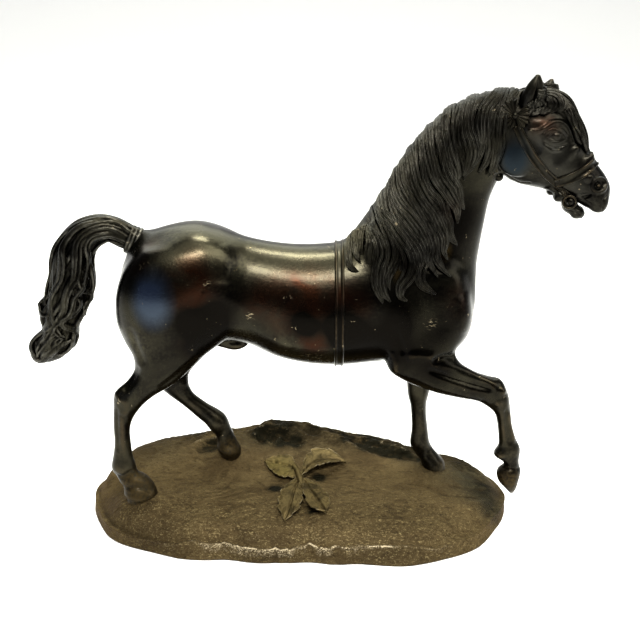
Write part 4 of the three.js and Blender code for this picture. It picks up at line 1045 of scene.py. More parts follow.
# The tail, modelled in clay: wavy locks of three strands laid over a narrower core
tail = {
    "low": (-183, -17, 108), "high": (-82, 17, 220), "voxel": 0.54, "reach": 3.0, "coreGrow": -2.4,
    "plainLocks": 13, "stations": 46, "wear": 10,
    # on both sides: height over the core, half width, path in the side view
    "locks": [
        (0.2, 2.6, [(-99.5, 204), (-106, 206.4), (-116, 211), (-127, 213), (-139, 210.4), (-148, 203.6),
                    (-154, 195), (-156.4, 186.4), (-157.8, 176), (-161, 169), (-163.6, 162),
                    (-164.4, 155.5), (-163.4, 149.2)]),
        (0.8, 2.8, [(-100.4, 201.6), (-106, 205.2), (-116, 211), (-126, 212), (-136, 209.4), (-143, 203),
                    (-147.6, 194.4), (-148.4, 186), (-150, 176), (-153.6, 169), (-157.6, 162.6),
                    (-159.8, 155.5), (-159, 146), (-156, 137), (-154, 136)]),
        (0.3, 2.8, [(-101.6, 198.6), (-107, 201.6), (-116, 206.6), (-125, 207), (-133.3, 203),
                    (-138, 196.4), (-139.5, 186.4), (-141.2, 176), (-145.7, 169.4), (-149.3, 161.7),
                    (-151, 155), (-155, 149), (-159.6, 141.6), (-164, 134.4), (-169, 128),
                    (-173.4, 121.5), (-172.2, 117.4)]),
        (1.2, 2.4, [(-103, 195.8), (-108, 198.6), (-115, 202), (-121, 203), (-128.6, 201), (-133, 195.4),
                    (-134.6, 186.4), (-137, 178), (-140, 170), (-145, 163.4), (-147, 155.5),
                    (-150.6, 149), (-155.7, 144.6), (-158, 139.4), (-155, 135.6)]),
        (0.4, 2.0, [(-104.6, 192.6), (-109, 195.6), (-115, 198), (-121, 199.6), (-126.6, 197),
                    (-130.4, 192.6), (-132.6, 186.4), (-132.2, 181)]),
        (0.2, 2.6, [(-134.8, 190), (-133.4, 180), (-133.6, 170), (-135.6, 163.4), (-139.8, 153.4),
                    (-143, 147), (-146.2, 140.6), (-147.4, 134), (-149, 128), (-153, 124),
                    (-158.4, 122.4)]),
        (1.1, 2.0, [(-138, 180), (-141, 172), (-139.6, 167), (-136, 165.4), (-135.6, 160.6),
                    (-139.4, 155.5), (-141, 148)]),
        (1.4, 2.1, [(-144, 168), (-141.4, 160.7), (-145, 153.4), (-150.3, 149), (-151.6, 143.9),
                    (-148, 139.7), (-147.4, 134), (-150.4, 128)]),
        (0.6, 2.4, [(-160, 147), (-167.4, 138), (-172.0, 132), (-174.2, 128), (-174.8, 122.4),
                    (-173.2, 117.4), (-169.6, 117), (-167, 120), (-162.6, 125), (-157, 130),
                    (-150.6, 133)]),
        (0.5, 2.0, [(-156, 139), (-163, 131), (-168, 125), (-169.6, 120.4)]),
        (0.5, 2.2, [(-159.4, 144), (-165.4, 136.4), (-170.4, 131), (-171.6, 125.4), (-170.4, 120.6)]),
        (0.3, 2.0, [(-154, 134.6), (-160.6, 128.4), (-166, 123.4), (-168.4, 119.6)]),
        (0.3, 1.8, [(-152, 130), (-158, 127), (-162, 123.4), (-163, 119.6)]),
        (0.9, 1.7, [(-158.6, 168), (-163, 161.5), (-166.4, 157), (-167, 151.6), (-165, 148.6),
                    (-162.4, 150)]),
    ],
    "ringAt": (0.84, 1.42), "beadStations": 57, "beadRadius": 1.25,
}


def tailLock(clay, path, out, halfWidth, lift, seed):
    # three strands side by side, wandering a little and running to one point
    random = np.random.default_rng(seed)
    n = len(path)
    t = np.linspace(0, 1, n)
    fan = np.clip(np.minimum(0.55 + t / 0.15, (1.0 - t) / 0.26), 0.12, 1) ** 0.7
    fan = fan * (1 + 0.18 * np.sin(t * 11 + seed))
    run = np.gradient(path, axis=0)
    run /= np.linalg.norm(run, axis=1, keepdims=True)
    across = np.cross(run, out)
    across /= np.linalg.norm(across, axis=1, keepdims=True)
    edges = roundEdge(10)
    for k, s in enumerate((-0.68, 0.0, 0.68)):
        wander = s + 0.16 * np.sin(t * random.uniform(7, 12) + random.uniform(0, 6.3))
        rise = lift * np.sin(np.clip(t * 1.4, 0, 1) * math.pi / 2) + (0.5 if k == 1 else 0.0)
        rise = rise + 0.25 * np.sin(t * 9 + k * 2 + seed)
        centre = path + across * (wander * halfWidth * fan)[:, None] + out * rise[:, None]
        size = halfWidth * 0.44 * (0.35 + 0.65 * fan)
        clay.add(closed(tubeRings(centre[None], out[None], size[None], size[None] * 1.15, edges)[0]), 0.3)


def modelTail():
    clay = Clay(tail["low"], tail["high"], tail["voxel"], tail["reach"])
    rows = horseForm["tail"]
    clay.add(closed(sectionRings(rows, np.linspace(0.9, 12.7, 110), sides=40, grow=tail["coreGrow"])), 0.3)
    core = clay.depth.copy()
    # a plain layer all round first, so that no core shows
    for k in range(tail["plainLocks"]):
        at = np.linspace(1.02, 12.3 - 0.5 * (k % 3), 70)
        angle = 2 * math.pi * k / tail["plainLocks"] + 0.20 * np.sin(at * 1.3 + k * 1.9) + 0.1 * at
        up = np.cos(angle)
        sink = 2.3 + 1.2 * smooth(10.5, 12.2, at)
        sink = sink + 1.8 * smooth(1.6, 2.6, at) * (1 - smooth(5, 7, at)) * np.clip(up, 0, 1)
        sink = sink + 1.8 * smooth(5, 7, at) * np.clip(-up, 0, 1)
        inner = onLoft(rows, at, angle, -sink)
        outer = onLoft(rows, at, angle, 1 - sink)
        size = smoothRows(rows, at)[:, 4] * 0.17 * np.clip((12.9 - at) / 1.2, 0.3, 1)
        out = (outer - inner) / np.linalg.norm(outer - inner, axis=1, keepdims=True)
        clay.add(closed(tubeRings(inner[None], out[None], size[None], size[None], roundEdge(10))[0]), 0.4)
    clay.depth, layer = core, clay.depth
    placed = []
    for side in (farSide, nearSide):
        for k, (lift, halfWidth, path) in enumerate(tail["locks"]):
            path = resampled(path, tail["stations"])
            if side == nearSide:
                # here the locks wander a little, so that the two sides differ
                t = np.linspace(0, 1, tail["stations"])
                wander = np.stack([1.3 * np.sin(t * 7 + k), np.cos(t * 6 + 2 * k)], -1)
                path = path + wander * smooth(0, 0.3, t)[:, None]
            # where a line of sight from that side meets the core
            deep = np.arange(15, 0.4, -0.4)[:, None] * side
            spots = np.stack(np.broadcast_arrays(path[:, 0], deep, path[:, 1]), -1)
            inside = clay.read(spots) < 0.9
            first = np.where(inside.any(0), inside.argmax(0), len(deep) - 1)
            y = deep[first, 0]
            y = np.convolve(np.pad(y, 3, mode="edge"), np.ones(7) / 7, "valid")
            spot = np.stack([path[:, 0], y, path[:, 1]], -1)
            # the strands lean a little towards the tail's middle plane
            out = clay.slope(spot)
            out[:, 1] -= side * 0.5
            out /= np.linalg.norm(out, axis=1, keepdims=True)
            placed.append((spot, out, halfWidth, lift, k + 20 * (side == nearSide)))
    clay.depth = layer
    for spot, out, halfWidth, lift, seed in placed:
        tailLock(clay, spot, out, halfWidth, lift, seed)
    # three beads round the root
    at = np.linspace(*tail["ringAt"], 31)
    turn = np.linspace(0, 2 * math.pi, tail["beadStations"])
    for spot in np.linspace(at[4], at[-5], 3):
        row = np.full(len(turn), spot)
        bead = onLoft(rows, row, turn, -0.5)
        out = bead - onLoft(rows, row, turn, -1.5)
        size = np.full((1, len(turn)), tail["beadRadius"])
        clay.add(closed(tubeRings(bead[None], out[None], size, size, roundEdge(10))[0]), 0.15)
    return clay


points, quads = modelTail().skin(1)
makePiece("tail", [(points, quads)], tailPatina, "horse", 0.66 + ridges(points, quads, 2) * tail["wear"])
print("hair carved")

# Straps: two raised edges with a sunk middle
strapEdge = [(-1, -0.8), (-1, 0.55), (-0.86, 0.95), (-0.66, 0.95), (-0.48, 0.45), (0.48, 0.45), (0.66, 0.95),
             (0.86, 0.95), (1, 0.55), (1, -0.8)]
bridle = {
    # path in the head's plane, half width, thickness
    "straps": [
        # cheekpiece, throat latch, two to the bit, brow band
        ([(4.4, 273), (8.4, 265.5), (13.6, 257), (19.5, 249.5), (25, 243.5), (30.5, 238.8)], 2.7, 1.1),
        ([(-3.8, 274), (-6.6, 263), (-7.8, 252), (-7.4, 243)], 1.8, 1.0),
        ([(30.5, 238), (36, 233.6), (42, 229.6)], 0.8, 0.9),
        ([(29, 238.5), (33.5, 233), (37.5, 228.6)], 1.0, 0.9),
        ([(12.5, 284.5), (9.0, 281.5), (6.6, 277.5), (5.4, 272)], 1.0, 0.9),
    ],
    # the bow, and its fans of ribbon: heading, spread, radius, pleats
    "bow": (3.0, 279.2), "bowRaise": 3.4, "knotRadii": (1.9, 1.5, 1.9),
    "fans": [(2.50, 2.0, 9.4, 6), (-0.20, 2.0, 8.8, 6), (-2.0, 1.1, 7.4, 3)],
    "ring": (39.0, 226.6), "ringRadius": 3.8, "ringOut": 7.6, "ringThick": 0.85,
    # knobs on both sides, and knobs that are there once: middle, radii
    "pairedKnobs": [((39.6, 7.4, 227.0), (2.3, 2.1, 2.3)), ((30.4, 8.2, 238.4), (1.9, 1.5, 1.9))],
    "knobs": [((-4.9, -4.0, 240.2), (3.0, 3.0, 3.0)), ((27.6, 0, 231.6), (3.0, 4.8, 2.6)),
              ((31.4, 0, 228.4), (2.6, 4.4, 2.4))],
    # the noseband goes round the nose: right half, then mirrored
    "noseband": [(29.5, -8, 238.6), (35, -9, 240.4), (40.5, -9.4, 242.4), (46, -8.6, 245.6),
                 (50.4, -6.4, 249.4), (52.8, -3.2, 251.6), (53.6, 0, 252.4)],
    "nosebandHalf": 3.1, "nosebandThick": 1.0,
}


def alongSkin(path, side, lift, stations=40):
    # a path in the head's plane, laid on the head's skin
    path = resampled(path, stations)
    return head.faceOn(path[:, 0], path[:, 1], side, lift)


def ball(centre, radii, rings=10, sides=16):
    tilt = np.linspace(0.12, math.pi - 0.12, rings)[:, None]
    turn = np.linspace(0, 2 * math.pi, sides, endpoint=False)[None]
    spots = np.stack([np.sin(tilt) * np.cos(turn) * radii[0], np.sin(tilt) * np.sin(turn) * radii[1],
                      np.cos(tilt) * np.ones_like(turn) * radii[2]], -1)
    return closed(spots + np.array(centre, float))


def fan(centre, side, heading, spread, radius, pleats):
    # one pleated fan of ribbon, gathered at the knot
    turn = np.linspace(heading - spread / 2, heading + spread / 2, pleats * 6 + 1)
    wave = np.cos(np.linspace(0, 2 * math.pi * pleats, len(turn)))
    top, under = [], []
    for share in np.linspace(0.08, 1.0, 12):
        r = radius * share * (1 + 0.06 * wave * share)
        lift = 0.9 + 0.5 * math.sin(share * 2.6) + 0.55 * wave * share ** 0.7
        spots = np.stack([centre[0] + r * np.cos(turn), side * (centre[1] + lift),
                          centre[2] + r * np.sin(turn)], -1)
        top.append(spots)
        under.append(np.stack([spots[:, 0], np.full(len(turn), side * (centre[1] - 2.2)), spots[:, 2]], -1))
    rings = [np.vstack([a, b[::-1]]) for a, b in zip(top, under)]
    return closed(np.array(rings))


def bridleParts():
    parts, worth = [], []

    def keep(points, faces, value=0.4):
        parts.append((points, faces))
        worth.append(np.broadcast_to(value, (len(points),)))

    for side in (nearSide, farSide):
        for path, half, thick in bridle["straps"]:
            spots, outs = alongSkin(path, side, 0.25)
            size = np.ones((1, len(spots)))
            keep(*sweep(spots[None], outs[None], size * half, size * thick, edges=strapEdge))
        x, z = bridle["bow"]
        base = abs(head.faceOn(np.array([x]), np.array([z]), side)[0][0, 1]) + bridle["bowRaise"]
        for heading, spread, radius, pleats in bridle["fans"]:
            keep(*fan((x, base, z), side, heading, spread, radius, pleats), 0.5)
        keep(*ball((x, side * (base + 1.8), z), bridle["knotRadii"]))
        x, z = bridle["ring"]
        turn = np.linspace(0, 2 * math.pi, 37)
        ringPath = np.stack([x + bridle["ringRadius"] * np.cos(turn), np.full(37, side * bridle["ringOut"]),
                             z + bridle["ringRadius"] * np.sin(turn)], -1)
        outs = np.tile((0.0, float(side), 0.0), (37, 1))
        size = np.full((1, 37), bridle["ringThick"])
        keep(*sweep(ringPath[None], outs[None], size, size))
        for (x, y, z), radii in bridle["pairedKnobs"]:
            keep(*ball((x, side * y, z), radii))
    for centre, radii in bridle["knobs"]:
        keep(*ball(centre, radii))
    half = np.array(bridle["noseband"], float)
    path = resampled(np.vstack([half, half[-2::-1] * (1, -1, 1)]), 90)
    spots, outs = head.settle(path, 0.5, 12)
    size = np.ones((1, len(spots)))
    keep(*sweep(spots[None], outs[None], size * bridle["nosebandHalf"], size * bridle["nosebandThick"],
                edges=strapEdge))
    return parts, np.concatenate(worth)


parts, worth = bridleParts()
makePiece("bridle", [(turned(points), faces) for points, faces in parts], strapPatina, "horse", worth)

# The girth strap, its two edges raised
girth = {
    "from": 23.5, "to": 30.5, "sides": 128,
    # height over the skin from one edge to the other
    "profile": [-1.5, 0.5, 1.2, 1.3, 0.9, 0.6, 0.55, 0.55, 0.55, 0.6, 0.9, 1.3, 1.2, 0.5, -1.5],
}
# it lies between two of the trunk's rows: row 8 at x 8 and row 9 at x 30
row, rowX, nextX = 8, 8, 30
at = row + (np.linspace(girth["from"], girth["to"], len(girth["profile"])) - rowX) / (nextX - rowX)
grow = np.array(girth["profile"])
points, faces = closed(sectionRings(horseForm["trunk"], at, sides=girth["sides"], egg=0.1, grow=grow))
worth = np.concatenate([np.repeat(np.clip(grow - 0.6, 0, 1) * 1.6, girth["sides"]), [0, 0]])
makePiece("girth_strap", [(points, faces)], strapPatina, "horse", worth)
print("bridle and girth strap made")

# The ground: an oval with a wandering edge, a bank along the back and a rock on it
groundShape = {
    "halfLength": 145.5, "halfDepth": 72, "middleY": 6, "rim": 12, "crown": 15, "bank": 14.5, "rock": 7.5,
    "sides": 820, "rings": 90,
    # steps in from the lip's edge
    "lipSteps": [0.0, 0.5, 1.0, 1.7, 2.5, 3.5, 4.8, 6.5, 8.5, 11],
    # the edge's waves: number round the edge, share of the radius, phase
    "waves": [(1, 0.016, 1.81), (2, 0.023, 2.77), (3, 0.014, -2.48), (4, 0.015, -1.66), (5, 0.012, -0.44),
              (6, 0.011, -0.24), (7, 0.015, 0.01), (9, 0.008, -0.01), (12, 0.008, -1.41), (16, 0.008, 2.25)],
    # the ground rises a little round the hooves: middle, radius, height
    "mounds": [((-105, -26), 23, 7.0), ((-50, 14), 15, 4.6), ((97, 14), 16, 3.0)],
    # tool marks and rock on the plan: height, half width, path
    "marks": [
        (-4.5, 4.0, [(-31, 37), (-24, 40), (-16, 36)]), (-4.2, 3.4, [(-14, 37), (-6, 39), (2, 33)]),
        (2.0, 2.2, [(-34, 38), (-30, 44), (-20, 44.5), (-9, 42), (-2, 36), (1, 29)]),
        (-3.6, 4.0, [(-74, 27), (-66, 30), (-57, 33)]),
        (1.5, 2.0, [(-78, 34), (-66, 37), (-54, 39), (-32, 34)]),
        (-4.0, 4.4, [(36, 43), (50, 36), (62, 33), (76, 32), (88, 27)]),
        (1.8, 2.6, [(-8, 47), (3, 46), (15, 45), (29, 42), (42, 35), (54, 28), (66, 23)]),
        (2.0, 3.0, [(-30, 50), (-12, 50), (6, 49), (28, 50), (50, 47), (72, 40), (90, 30)]),
        (-1.8, 2.0, [(16, 49), (34, 48), (52, 42), (66, 38)]),
        (-1.6, 2.4, [(-34, 56), (-14, 58), (10, 56), (36, 54), (62, 46)]),
        (-1.2, 1.2, [(-88, 36), (-78, 42), (-70, 50)]), (-1.2, 1.2, [(-80, 34), (-70, 42), (-62, 50)]),
        (-1.0, 1.2, [(32, -10), (46, -19)]), (-0.9, 1.0, [(34, -58), (49, -60), (58, -58)]),
        (0.8, 1.8, [(-92, -34), (-60, -46), (-28, -52)]), (0.9, 2.0, [(36, -44), (62, -46), (92, -36)]),
        (-1.6, 3.0, [(-30, 2), (-23, -8), (-20, -14)]), (1.2, 4.0, [(96, -24), (116, -20), (132, -8)]),
        (-1.4, 2.2, [(104, 0), (120, 4), (134, 8)]), (-1.2, 2.0, [(96, -10), (114, -8), (132, -2)]),
        (-1.2, 2.0, [(110, 26), (122, 22), (134, 14)])] + [
        # short grooves side by side
        (-0.55, 0.6, [(x, 26 - 3 * (k % 3)), (x + 2.5 * (k % 2), 15), (x - 1.0 + k % 3, 5 + 4 * (k % 2))])
        for k, x in enumerate((-47, -43.4, -38.6, -36, -31, -27.8, -24))],
}


def planRadius(angle):
    # half the plan's width in a direction
    g = groundShape
    oval = (np.abs(np.cos(angle) / g["halfLength"]) ** 2.2
            + np.abs(np.sin(angle) / g["halfDepth"]) ** 2.2) ** (-1 / 2.2)
    return oval * (1 + sum(depth * np.sin(count * angle + phase) for count, depth, phase in g["waves"]))


def groundHeight(x, y):
    g = groundShape
    share = np.minimum(1, np.hypot(x, y - g["middleY"]) / planRadius(np.arctan2(y - g["middleY"], x)))
    crown = (g["crown"] - 0.02 * x) * (1 - share ** (4.2 + 2.6 * smooth(-5, 35, y)))
    rise = np.clip((y + 8) / 58, 0, 1)
    rise = rise * rise * (3 - 2 * rise)
    bank = g["bank"] * rise * np.exp(-((x + 10) / np.where(x < -10, 400, 108)) ** 2)
    beside = np.where(x < -20, (x + 20) / 14, np.clip(x + 10, 0, None) / 29)
    rock = g["rock"] * np.exp(-beside ** 2 - ((y - 50) / 11) ** 2)
    return g["rim"] + crown + bank + rock


def relief(x, y, size, seed, octaves=4, rough=0.5):
    # smooth chance relief between about -1 and 1
    total, weight, cells = 0.0, 1.0, 97
    for octave in range(octaves):
        table = np.random.default_rng(seed + octave).uniform(-1, 1, (cells, cells))
        i, j = np.floor(x / size).astype(int), np.floor(y / size).astype(int)
        u, v = x / size - i, y / size - j
        u, v = u * u * (3 - 2 * u), v * v * (3 - 2 * v)
        at = lambda a, b: table[(i + a) % cells, (j + b) % cells]
        low = at(0, 0) * (1 - u) + at(1, 0) * u
        high = at(0, 1) * (1 - u) + at(1, 1) * u
        total = total + weight * (low * (1 - v) + high * v)
        weight *= rough
        size /= 2.03
    return total


def groundDetail(x, y):
    # the finer relief on the ground: lumps, tool marks, rock and mounds
    lift = 0.6 * relief(x, y, 17, 3, 3)
    # strokes of the modelling tool, turning over the ground
    bend = 0.9 * relief(x, y, 60, 71, 1) + 0.35
    u, v = x * np.cos(bend) + y * np.sin(bend), y * np.cos(bend) - x * np.sin(bend)
    lift = lift + 0.42 * relief(u / 2.4, v, 4.4, 9, 4, 0.65) * (0.7 + 0.5 * relief(x, y, 30, 77, 1))
    rocky = smooth(22, 40, y) * smooth(-95, -60, x) * (1 - smooth(70, 110, x))
    lift = lift + rocky * 2.2 * (0.45 - np.abs(relief(x, y * 1.8, 13, 21, 4, 0.55)))
    for (cx, cy), radius, height in groundShape["mounds"]:
        lift = lift + height * np.exp(-((x - cx) ** 2 + (y - cy) ** 2) / radius ** 2)
    flat = np.stack([x, y], -1)
    for height, width, path in groundShape["marks"]:
        path = polyline(path)
        low, high = path.min(0) - 3 * width, path.max(0) + 3 * width
        hit = np.nonzero(((flat > low) & (flat < high)).all(-1).ravel())[0]
        gap, along = fromPath(flat.reshape(-1, 2)[hit], path)
        taper = np.sqrt(np.clip(np.minimum(along, 1 - along) / 0.25, 0, 1))
        lift.reshape(-1)[hit] += height * np.exp(-(gap / width) ** 2) * taper
    return lift


def makeGround():
    # the rim: a wavering lip over a wall with bites in it, which spreads again at the foot
    sides, lipSteps = groundShape["sides"], groundShape["lipSteps"]
    angle = np.linspace(0, 2 * math.pi, sides, endpoint=False)
    plan = planRadius(angle)
    ex, ey = np.cos(angle) * 118, np.sin(angle) * 118    # the relief of the rim is read along this circle

    def place(radius):
        return radius * np.cos(angle), groundShape["middleY"] + radius * np.sin(angle)

    ends = smooth(72, 112, np.abs(ex))
    bites = smooth(-0.35, 0.75, relief(ex, ey, 27, 33, 2, 0.4)) * (1 - 0.6 * ends)
    crumbs = relief(ex, ey, 6, 37, 3, 0.6)
    lipRadius = plan * (0.992 + 0.022 * ends) - 0.3 - 5.6 * bites - 0.35 * crumbs
    lipHeight = np.minimum(groundHeight(*place(lipRadius)), 15) * 0.84 + 0.8 * bites
    lipHeight = (lipHeight + 1.8 * relief(ex, ey, 31, 43, 2)) * (1 - 0.08 * ends) + 0.3 * crumbs
    footRadius = plan * (0.998 + 0.014 * ends) - 0.15 * (1 + crumbs)
    front = smooth(0.35, -0.45, np.sin(angle))
    broken = smooth(-0.25, 0.35, relief(ex, ey, 15, 91, 3, 0.6)) * (0.55 + 0.7 * smooth(-0.2, 0.5, crumbs))
    rings, wear = [], []
    # the foot
    for inset, height in ((2.6, 0.0), (1.2, 0.0), (0.4, 0.5)):
        rings.append(np.stack([*place(footRadius - inset), np.full(sides, height)], -1))
        wear.append(np.zeros(sides))
    # the wall
    for v in np.linspace(0.10, 0.96, 12):
        belly = math.sin(math.pi * v)
        hollow = (0.3 + 0.7 * bites) * belly ** 0.8
        grain = 0.22 * relief(ex + v * 31, ey - v * 17, 2.2, 53, 2) * belly
        radius = footRadius + (lipRadius - footRadius) * v ** 1.6 - hollow - grain
        rings.append(np.stack([*place(radius), 0.5 + (lipHeight - 0.5) * v], -1))
        worn = 0.50 * smooth(0.0, 0.7, v) * (1 - 0.7 * bites) * (1 - 0.7 * ends)
        # the bites give a value under 0 in the belly of the wall: painted shade under the overhanging lip
        wear.append((worn - 0.4 * bites * belly) * front)
    # the lip, which passes into the ground
    for inset in lipSteps:
        x, y = place(lipRadius - inset)
        join = np.exp(-(inset / (5.0 + 1.5 * ends)) ** 2)
        lip = (1 - ends) * 0.5 * math.exp(-((inset - 0.9) / 0.9) ** 2)
        lip = lip - 0.45 * math.exp(-((inset - 4.2) / 2.0) ** 2)
        height = groundHeight(x, y) + groundDetail(x, y) * smooth(0.0, 6.0, inset)
        rings.append(np.stack([x, y, height * (1 - join) + lipHeight * join + lip], -1))
        edge = broken * math.exp(-((inset - 0.4) / 0.5) ** 2)
        band = 0.36 * math.exp(-(inset / 7.0) ** 2) * (1 - 0.6 * bites)
        wear.append(front * (1 - 0.9 * ends) * (edge + band))
    # the ground
    for share in np.linspace(0.987, 0.015, groundShape["rings"]):
        x, y = place((lipRadius - lipSteps[-1]) * share)
        rings.append(np.stack([x, y, groundHeight(x, y) + groundDetail(x, y)], -1))
        wear.append(np.zeros(sides))
    return closed(np.array(rings)), np.concatenate(wear + [[0, 0]])


# The sprig of four leaves on the ground, with its stalk
sprig = {
    # each leaf between three curves, the middle and two edges, as x, y and height over the ground
    "leaves": [
        {"middle": [(0, -2, 4.4), (-5, 7, 4.2), (-14, 11, 3.4), (-24.7, 14.9, 2.2)],
         "edges": ([(0, -1, 4.2), (-5, 17.5, 3.8), (-16, 19, 3.2), (-24.7, 14.9, 2.2)],
                   [(0, -3, 4.2), (-6, -2, 2.4), (-17, 2, 1.9), (-24.7, 14.9, 2.2)]),
         "teeth": 2.5, "bite": 0.10},
        {"middle": [(1, -2, 4.4), (9, 11, 4.0), (20, 18, 3.0), (33.4, 16.7, 2)],
         "edges": ([(1, -1, 4.4), (6, 22.5, 3.6), (20, 27, 3.6), (33.4, 16.7, 2)],
                   [(1, -3, 4.4), (10.3, 3.9, 6.2), (22, 9, 6.6), (33.4, 16.7, 2)]),
         "teeth": 4.2, "bite": 0.22},
        {"middle": [(1, -6, 4.8), (-2.8, -24, 4.4), (-5, -38, 3.2), (-8.3, -48.8, 1.3)],
         "edges": ([(-2, -5, 4.2), (-11, -18, 3.2), (-14, -36, 2.6), (-8.3, -48.8, 1.3)],
                   [(3, -7, 4.8), (4, -29, 4.4), (1, -42, 3.6), (-8.3, -48.8, 1.3)]),
         "teeth": 5.5, "bite": 0.22},
        {"middle": [(3, -6, 4.8), (8.5, -21, 4.4), (13.6, -33.4, 4.0), (18.5, -45.4, 4.2)],
         "edges": ([(0, -8, 4.8), (3.8, -30, 5.4), (8.6, -43, 6.0), (18.5, -45.4, 5.4)],
                   [(5, -5, 4.4), (13.4, -13, 3.6), (22, -32, 4.8), (18.5, -45.4, 4.6)]),
         "teeth": 3.5, "bite": 0.15},
    ],
    # the stalk in the same way, and its half thickness at shares of its length
    "stalk": [(-4.4, 14, 0.6), (-3.4, 9, 3.0), (-1, 2, 4.6), (1, -7, 5.0), (2, -15, 4.4)],
    "stalkShares": [0, 0.12, 0.5, 0.75, 1], "stalkThick": [0.8, 2.2, 2.0, 2.4, 0.8], "stalkStations": 24,
}


def makeLeaf(leaf, seed):
    long, wide = 72, 45
    t = np.linspace(0.0, 1.0, long)[:, None]
    s = np.linspace(-1.0, 1.0, wide)[None]
    middle = resampled(leaf["middle"], long)
    edges = [resampled(path, long) for path in leaf["edges"]]
    across = np.where(s[..., None] < 0, (edges[0] - middle)[:, None], (edges[1] - middle)[:, None])
    saw = ((t * leaf["teeth"] + 0.27 * (s > 0)) % 1.0)
    teeth = 1 - leaf["bite"] * saw ** 1.6 * smooth(0.12, 0.3, t) * (1 - smooth(0.93, 1.0, t))
    teeth = teeth - 0.025 * np.abs(np.sin(t * 47 + seed))
    reach = np.abs(s) * (1 + (teeth - 1) * smooth(0.35, 1.0, np.abs(s)))
    spots = middle[:, None] + across * reach[..., None]
    x, y = spots[..., 0], spots[..., 1]
    width = np.linalg.norm(across[..., :2], axis=-1) * np.ones_like(s)
    away = width * reach
    bulge = 0.9 * np.sin(math.pi * np.clip(np.abs(s), 0, 1)) * np.clip(width / 8, 0, 1)
    midrib = -0.7 * np.exp(-(away / 0.6) ** 2) + 0.35 * np.exp(-((away - 1.4) / 0.7) ** 2)
    vein = (t * 6.5 - np.abs(s) * 1.3) % 1.0
    veins = -0.42 * np.exp(-((vein - 0.5) / 0.09) ** 2) * smooth(1.2, 3.0, away)
    veins = veins + 0.20 * np.sin(vein * 2 * math.pi)
    lip = 0.5 * smooth(0.86, 1.0, np.abs(s))
    top = groundHeight(x, y) + spots[..., 2] + bulge + lip
    top = top + (midrib + veins) * smooth(0.02, 0.12, t) * (1 - 0.6 * t)
    top = top + 0.3 * relief(x, y, 3.4, 60 + seed, 3)
    under = top - (1.2 - 0.3 * np.abs(s) ** 3)
    rings = np.stack([np.concatenate([np.stack([x[i], y[i], top[i]], -1),
                                      np.stack([x[i], y[i], under[i]], -1)[::-1]]) for i in range(long)])
    worth = smooth(0.88, 1.0, np.abs(s)) + 0.5 * np.clip(midrib + veins, 0, 1)
    worth = np.concatenate([worth, np.zeros((long, wide))], 1).ravel()
    return closed(rings), np.concatenate([worth, [0, 0]])


earthColors = {
    "low": (0.018, 0.0125, 0.0055), "middle": (0.055, 0.037, 0.0160), "high": (0.084, 0.059, 0.026),
    "green": (0.030, 0.027, 0.016), "rock": (0.0044, 0.0042, 0.0018), "gold": (0.42, 0.35, 0.23),
    # rock is the near black used for the painted shade in the recesses
    "grain": (0.30, 0.235, 0.110),
    "leaf": (0.080, 0.058, 0.024), "leafDark": (0.026, 0.019, 0.008), "leafBright": (0.074, 0.056, 0.018),
    # painted shade in the caves and gullies of the rock and under the raised leaf edges: middle, radius,
    # strength
    "paintedRecessShade": [((-15, 44, 46), 24, 0.5), ((40, 50, 36), 26, 0.4), ((70, 40, 32), 24, 0.5),
                 ((-25, 38, 43), 11, 1.0), ((-14, 35, 41), 9, 0.9), ((-3, 35, 40), 10, 1.0),
                 ((-31, 42, 45), 9, 0.9), ((-12, 46, 49), 11, 0.5), ((-64, 30, 38), 12, 0.9),
                 ((10, 45, 44), 10, 0.5), ((34, 44, 38), 10, 0.8), ((48, 37, 35), 10, 1.0),
                 ((62, 33, 33), 10, 1.1), ((76, 31, 32), 10, 1.1), ((88, 27, 30), 8, 0.9),
                 ((-76, 46, 36), 12, 0.5), ((20, 56, 38), 16, 0.6), ((52, 48, 32), 14, 0.7),
                 ((132, 6, 18), 24, 0.55), ((138, -18, 14), 18, 0.5), ((120, 32, 22), 20, 0.5),
                 ((14, 3, 28), 8, 0.9), ((-16, -12, 27), 9, 0.8), ((9, -38, 24), 7, 0.8)],
    # greenish grey parts, then darker parts at the front
    "greened": [((122, 14, 20), 44, 1.0), ((134, -14, 16), 24, 0.8), ((0, 60, 36), 60, 0.7),
                ((-100, 40, 26), 36, 0.7), ((90, 36, 28), 34, 0.8), ((-40, 40, 40), 26, 0.5)],
    "darkFront": [((-20, -70, 14), 60, 0.9), ((60, -66, 14), 60, 0.9), ((-100, -52, 14), 50, 0.9),
                  ((-118, -14, 22), 34, 0.7)],
}


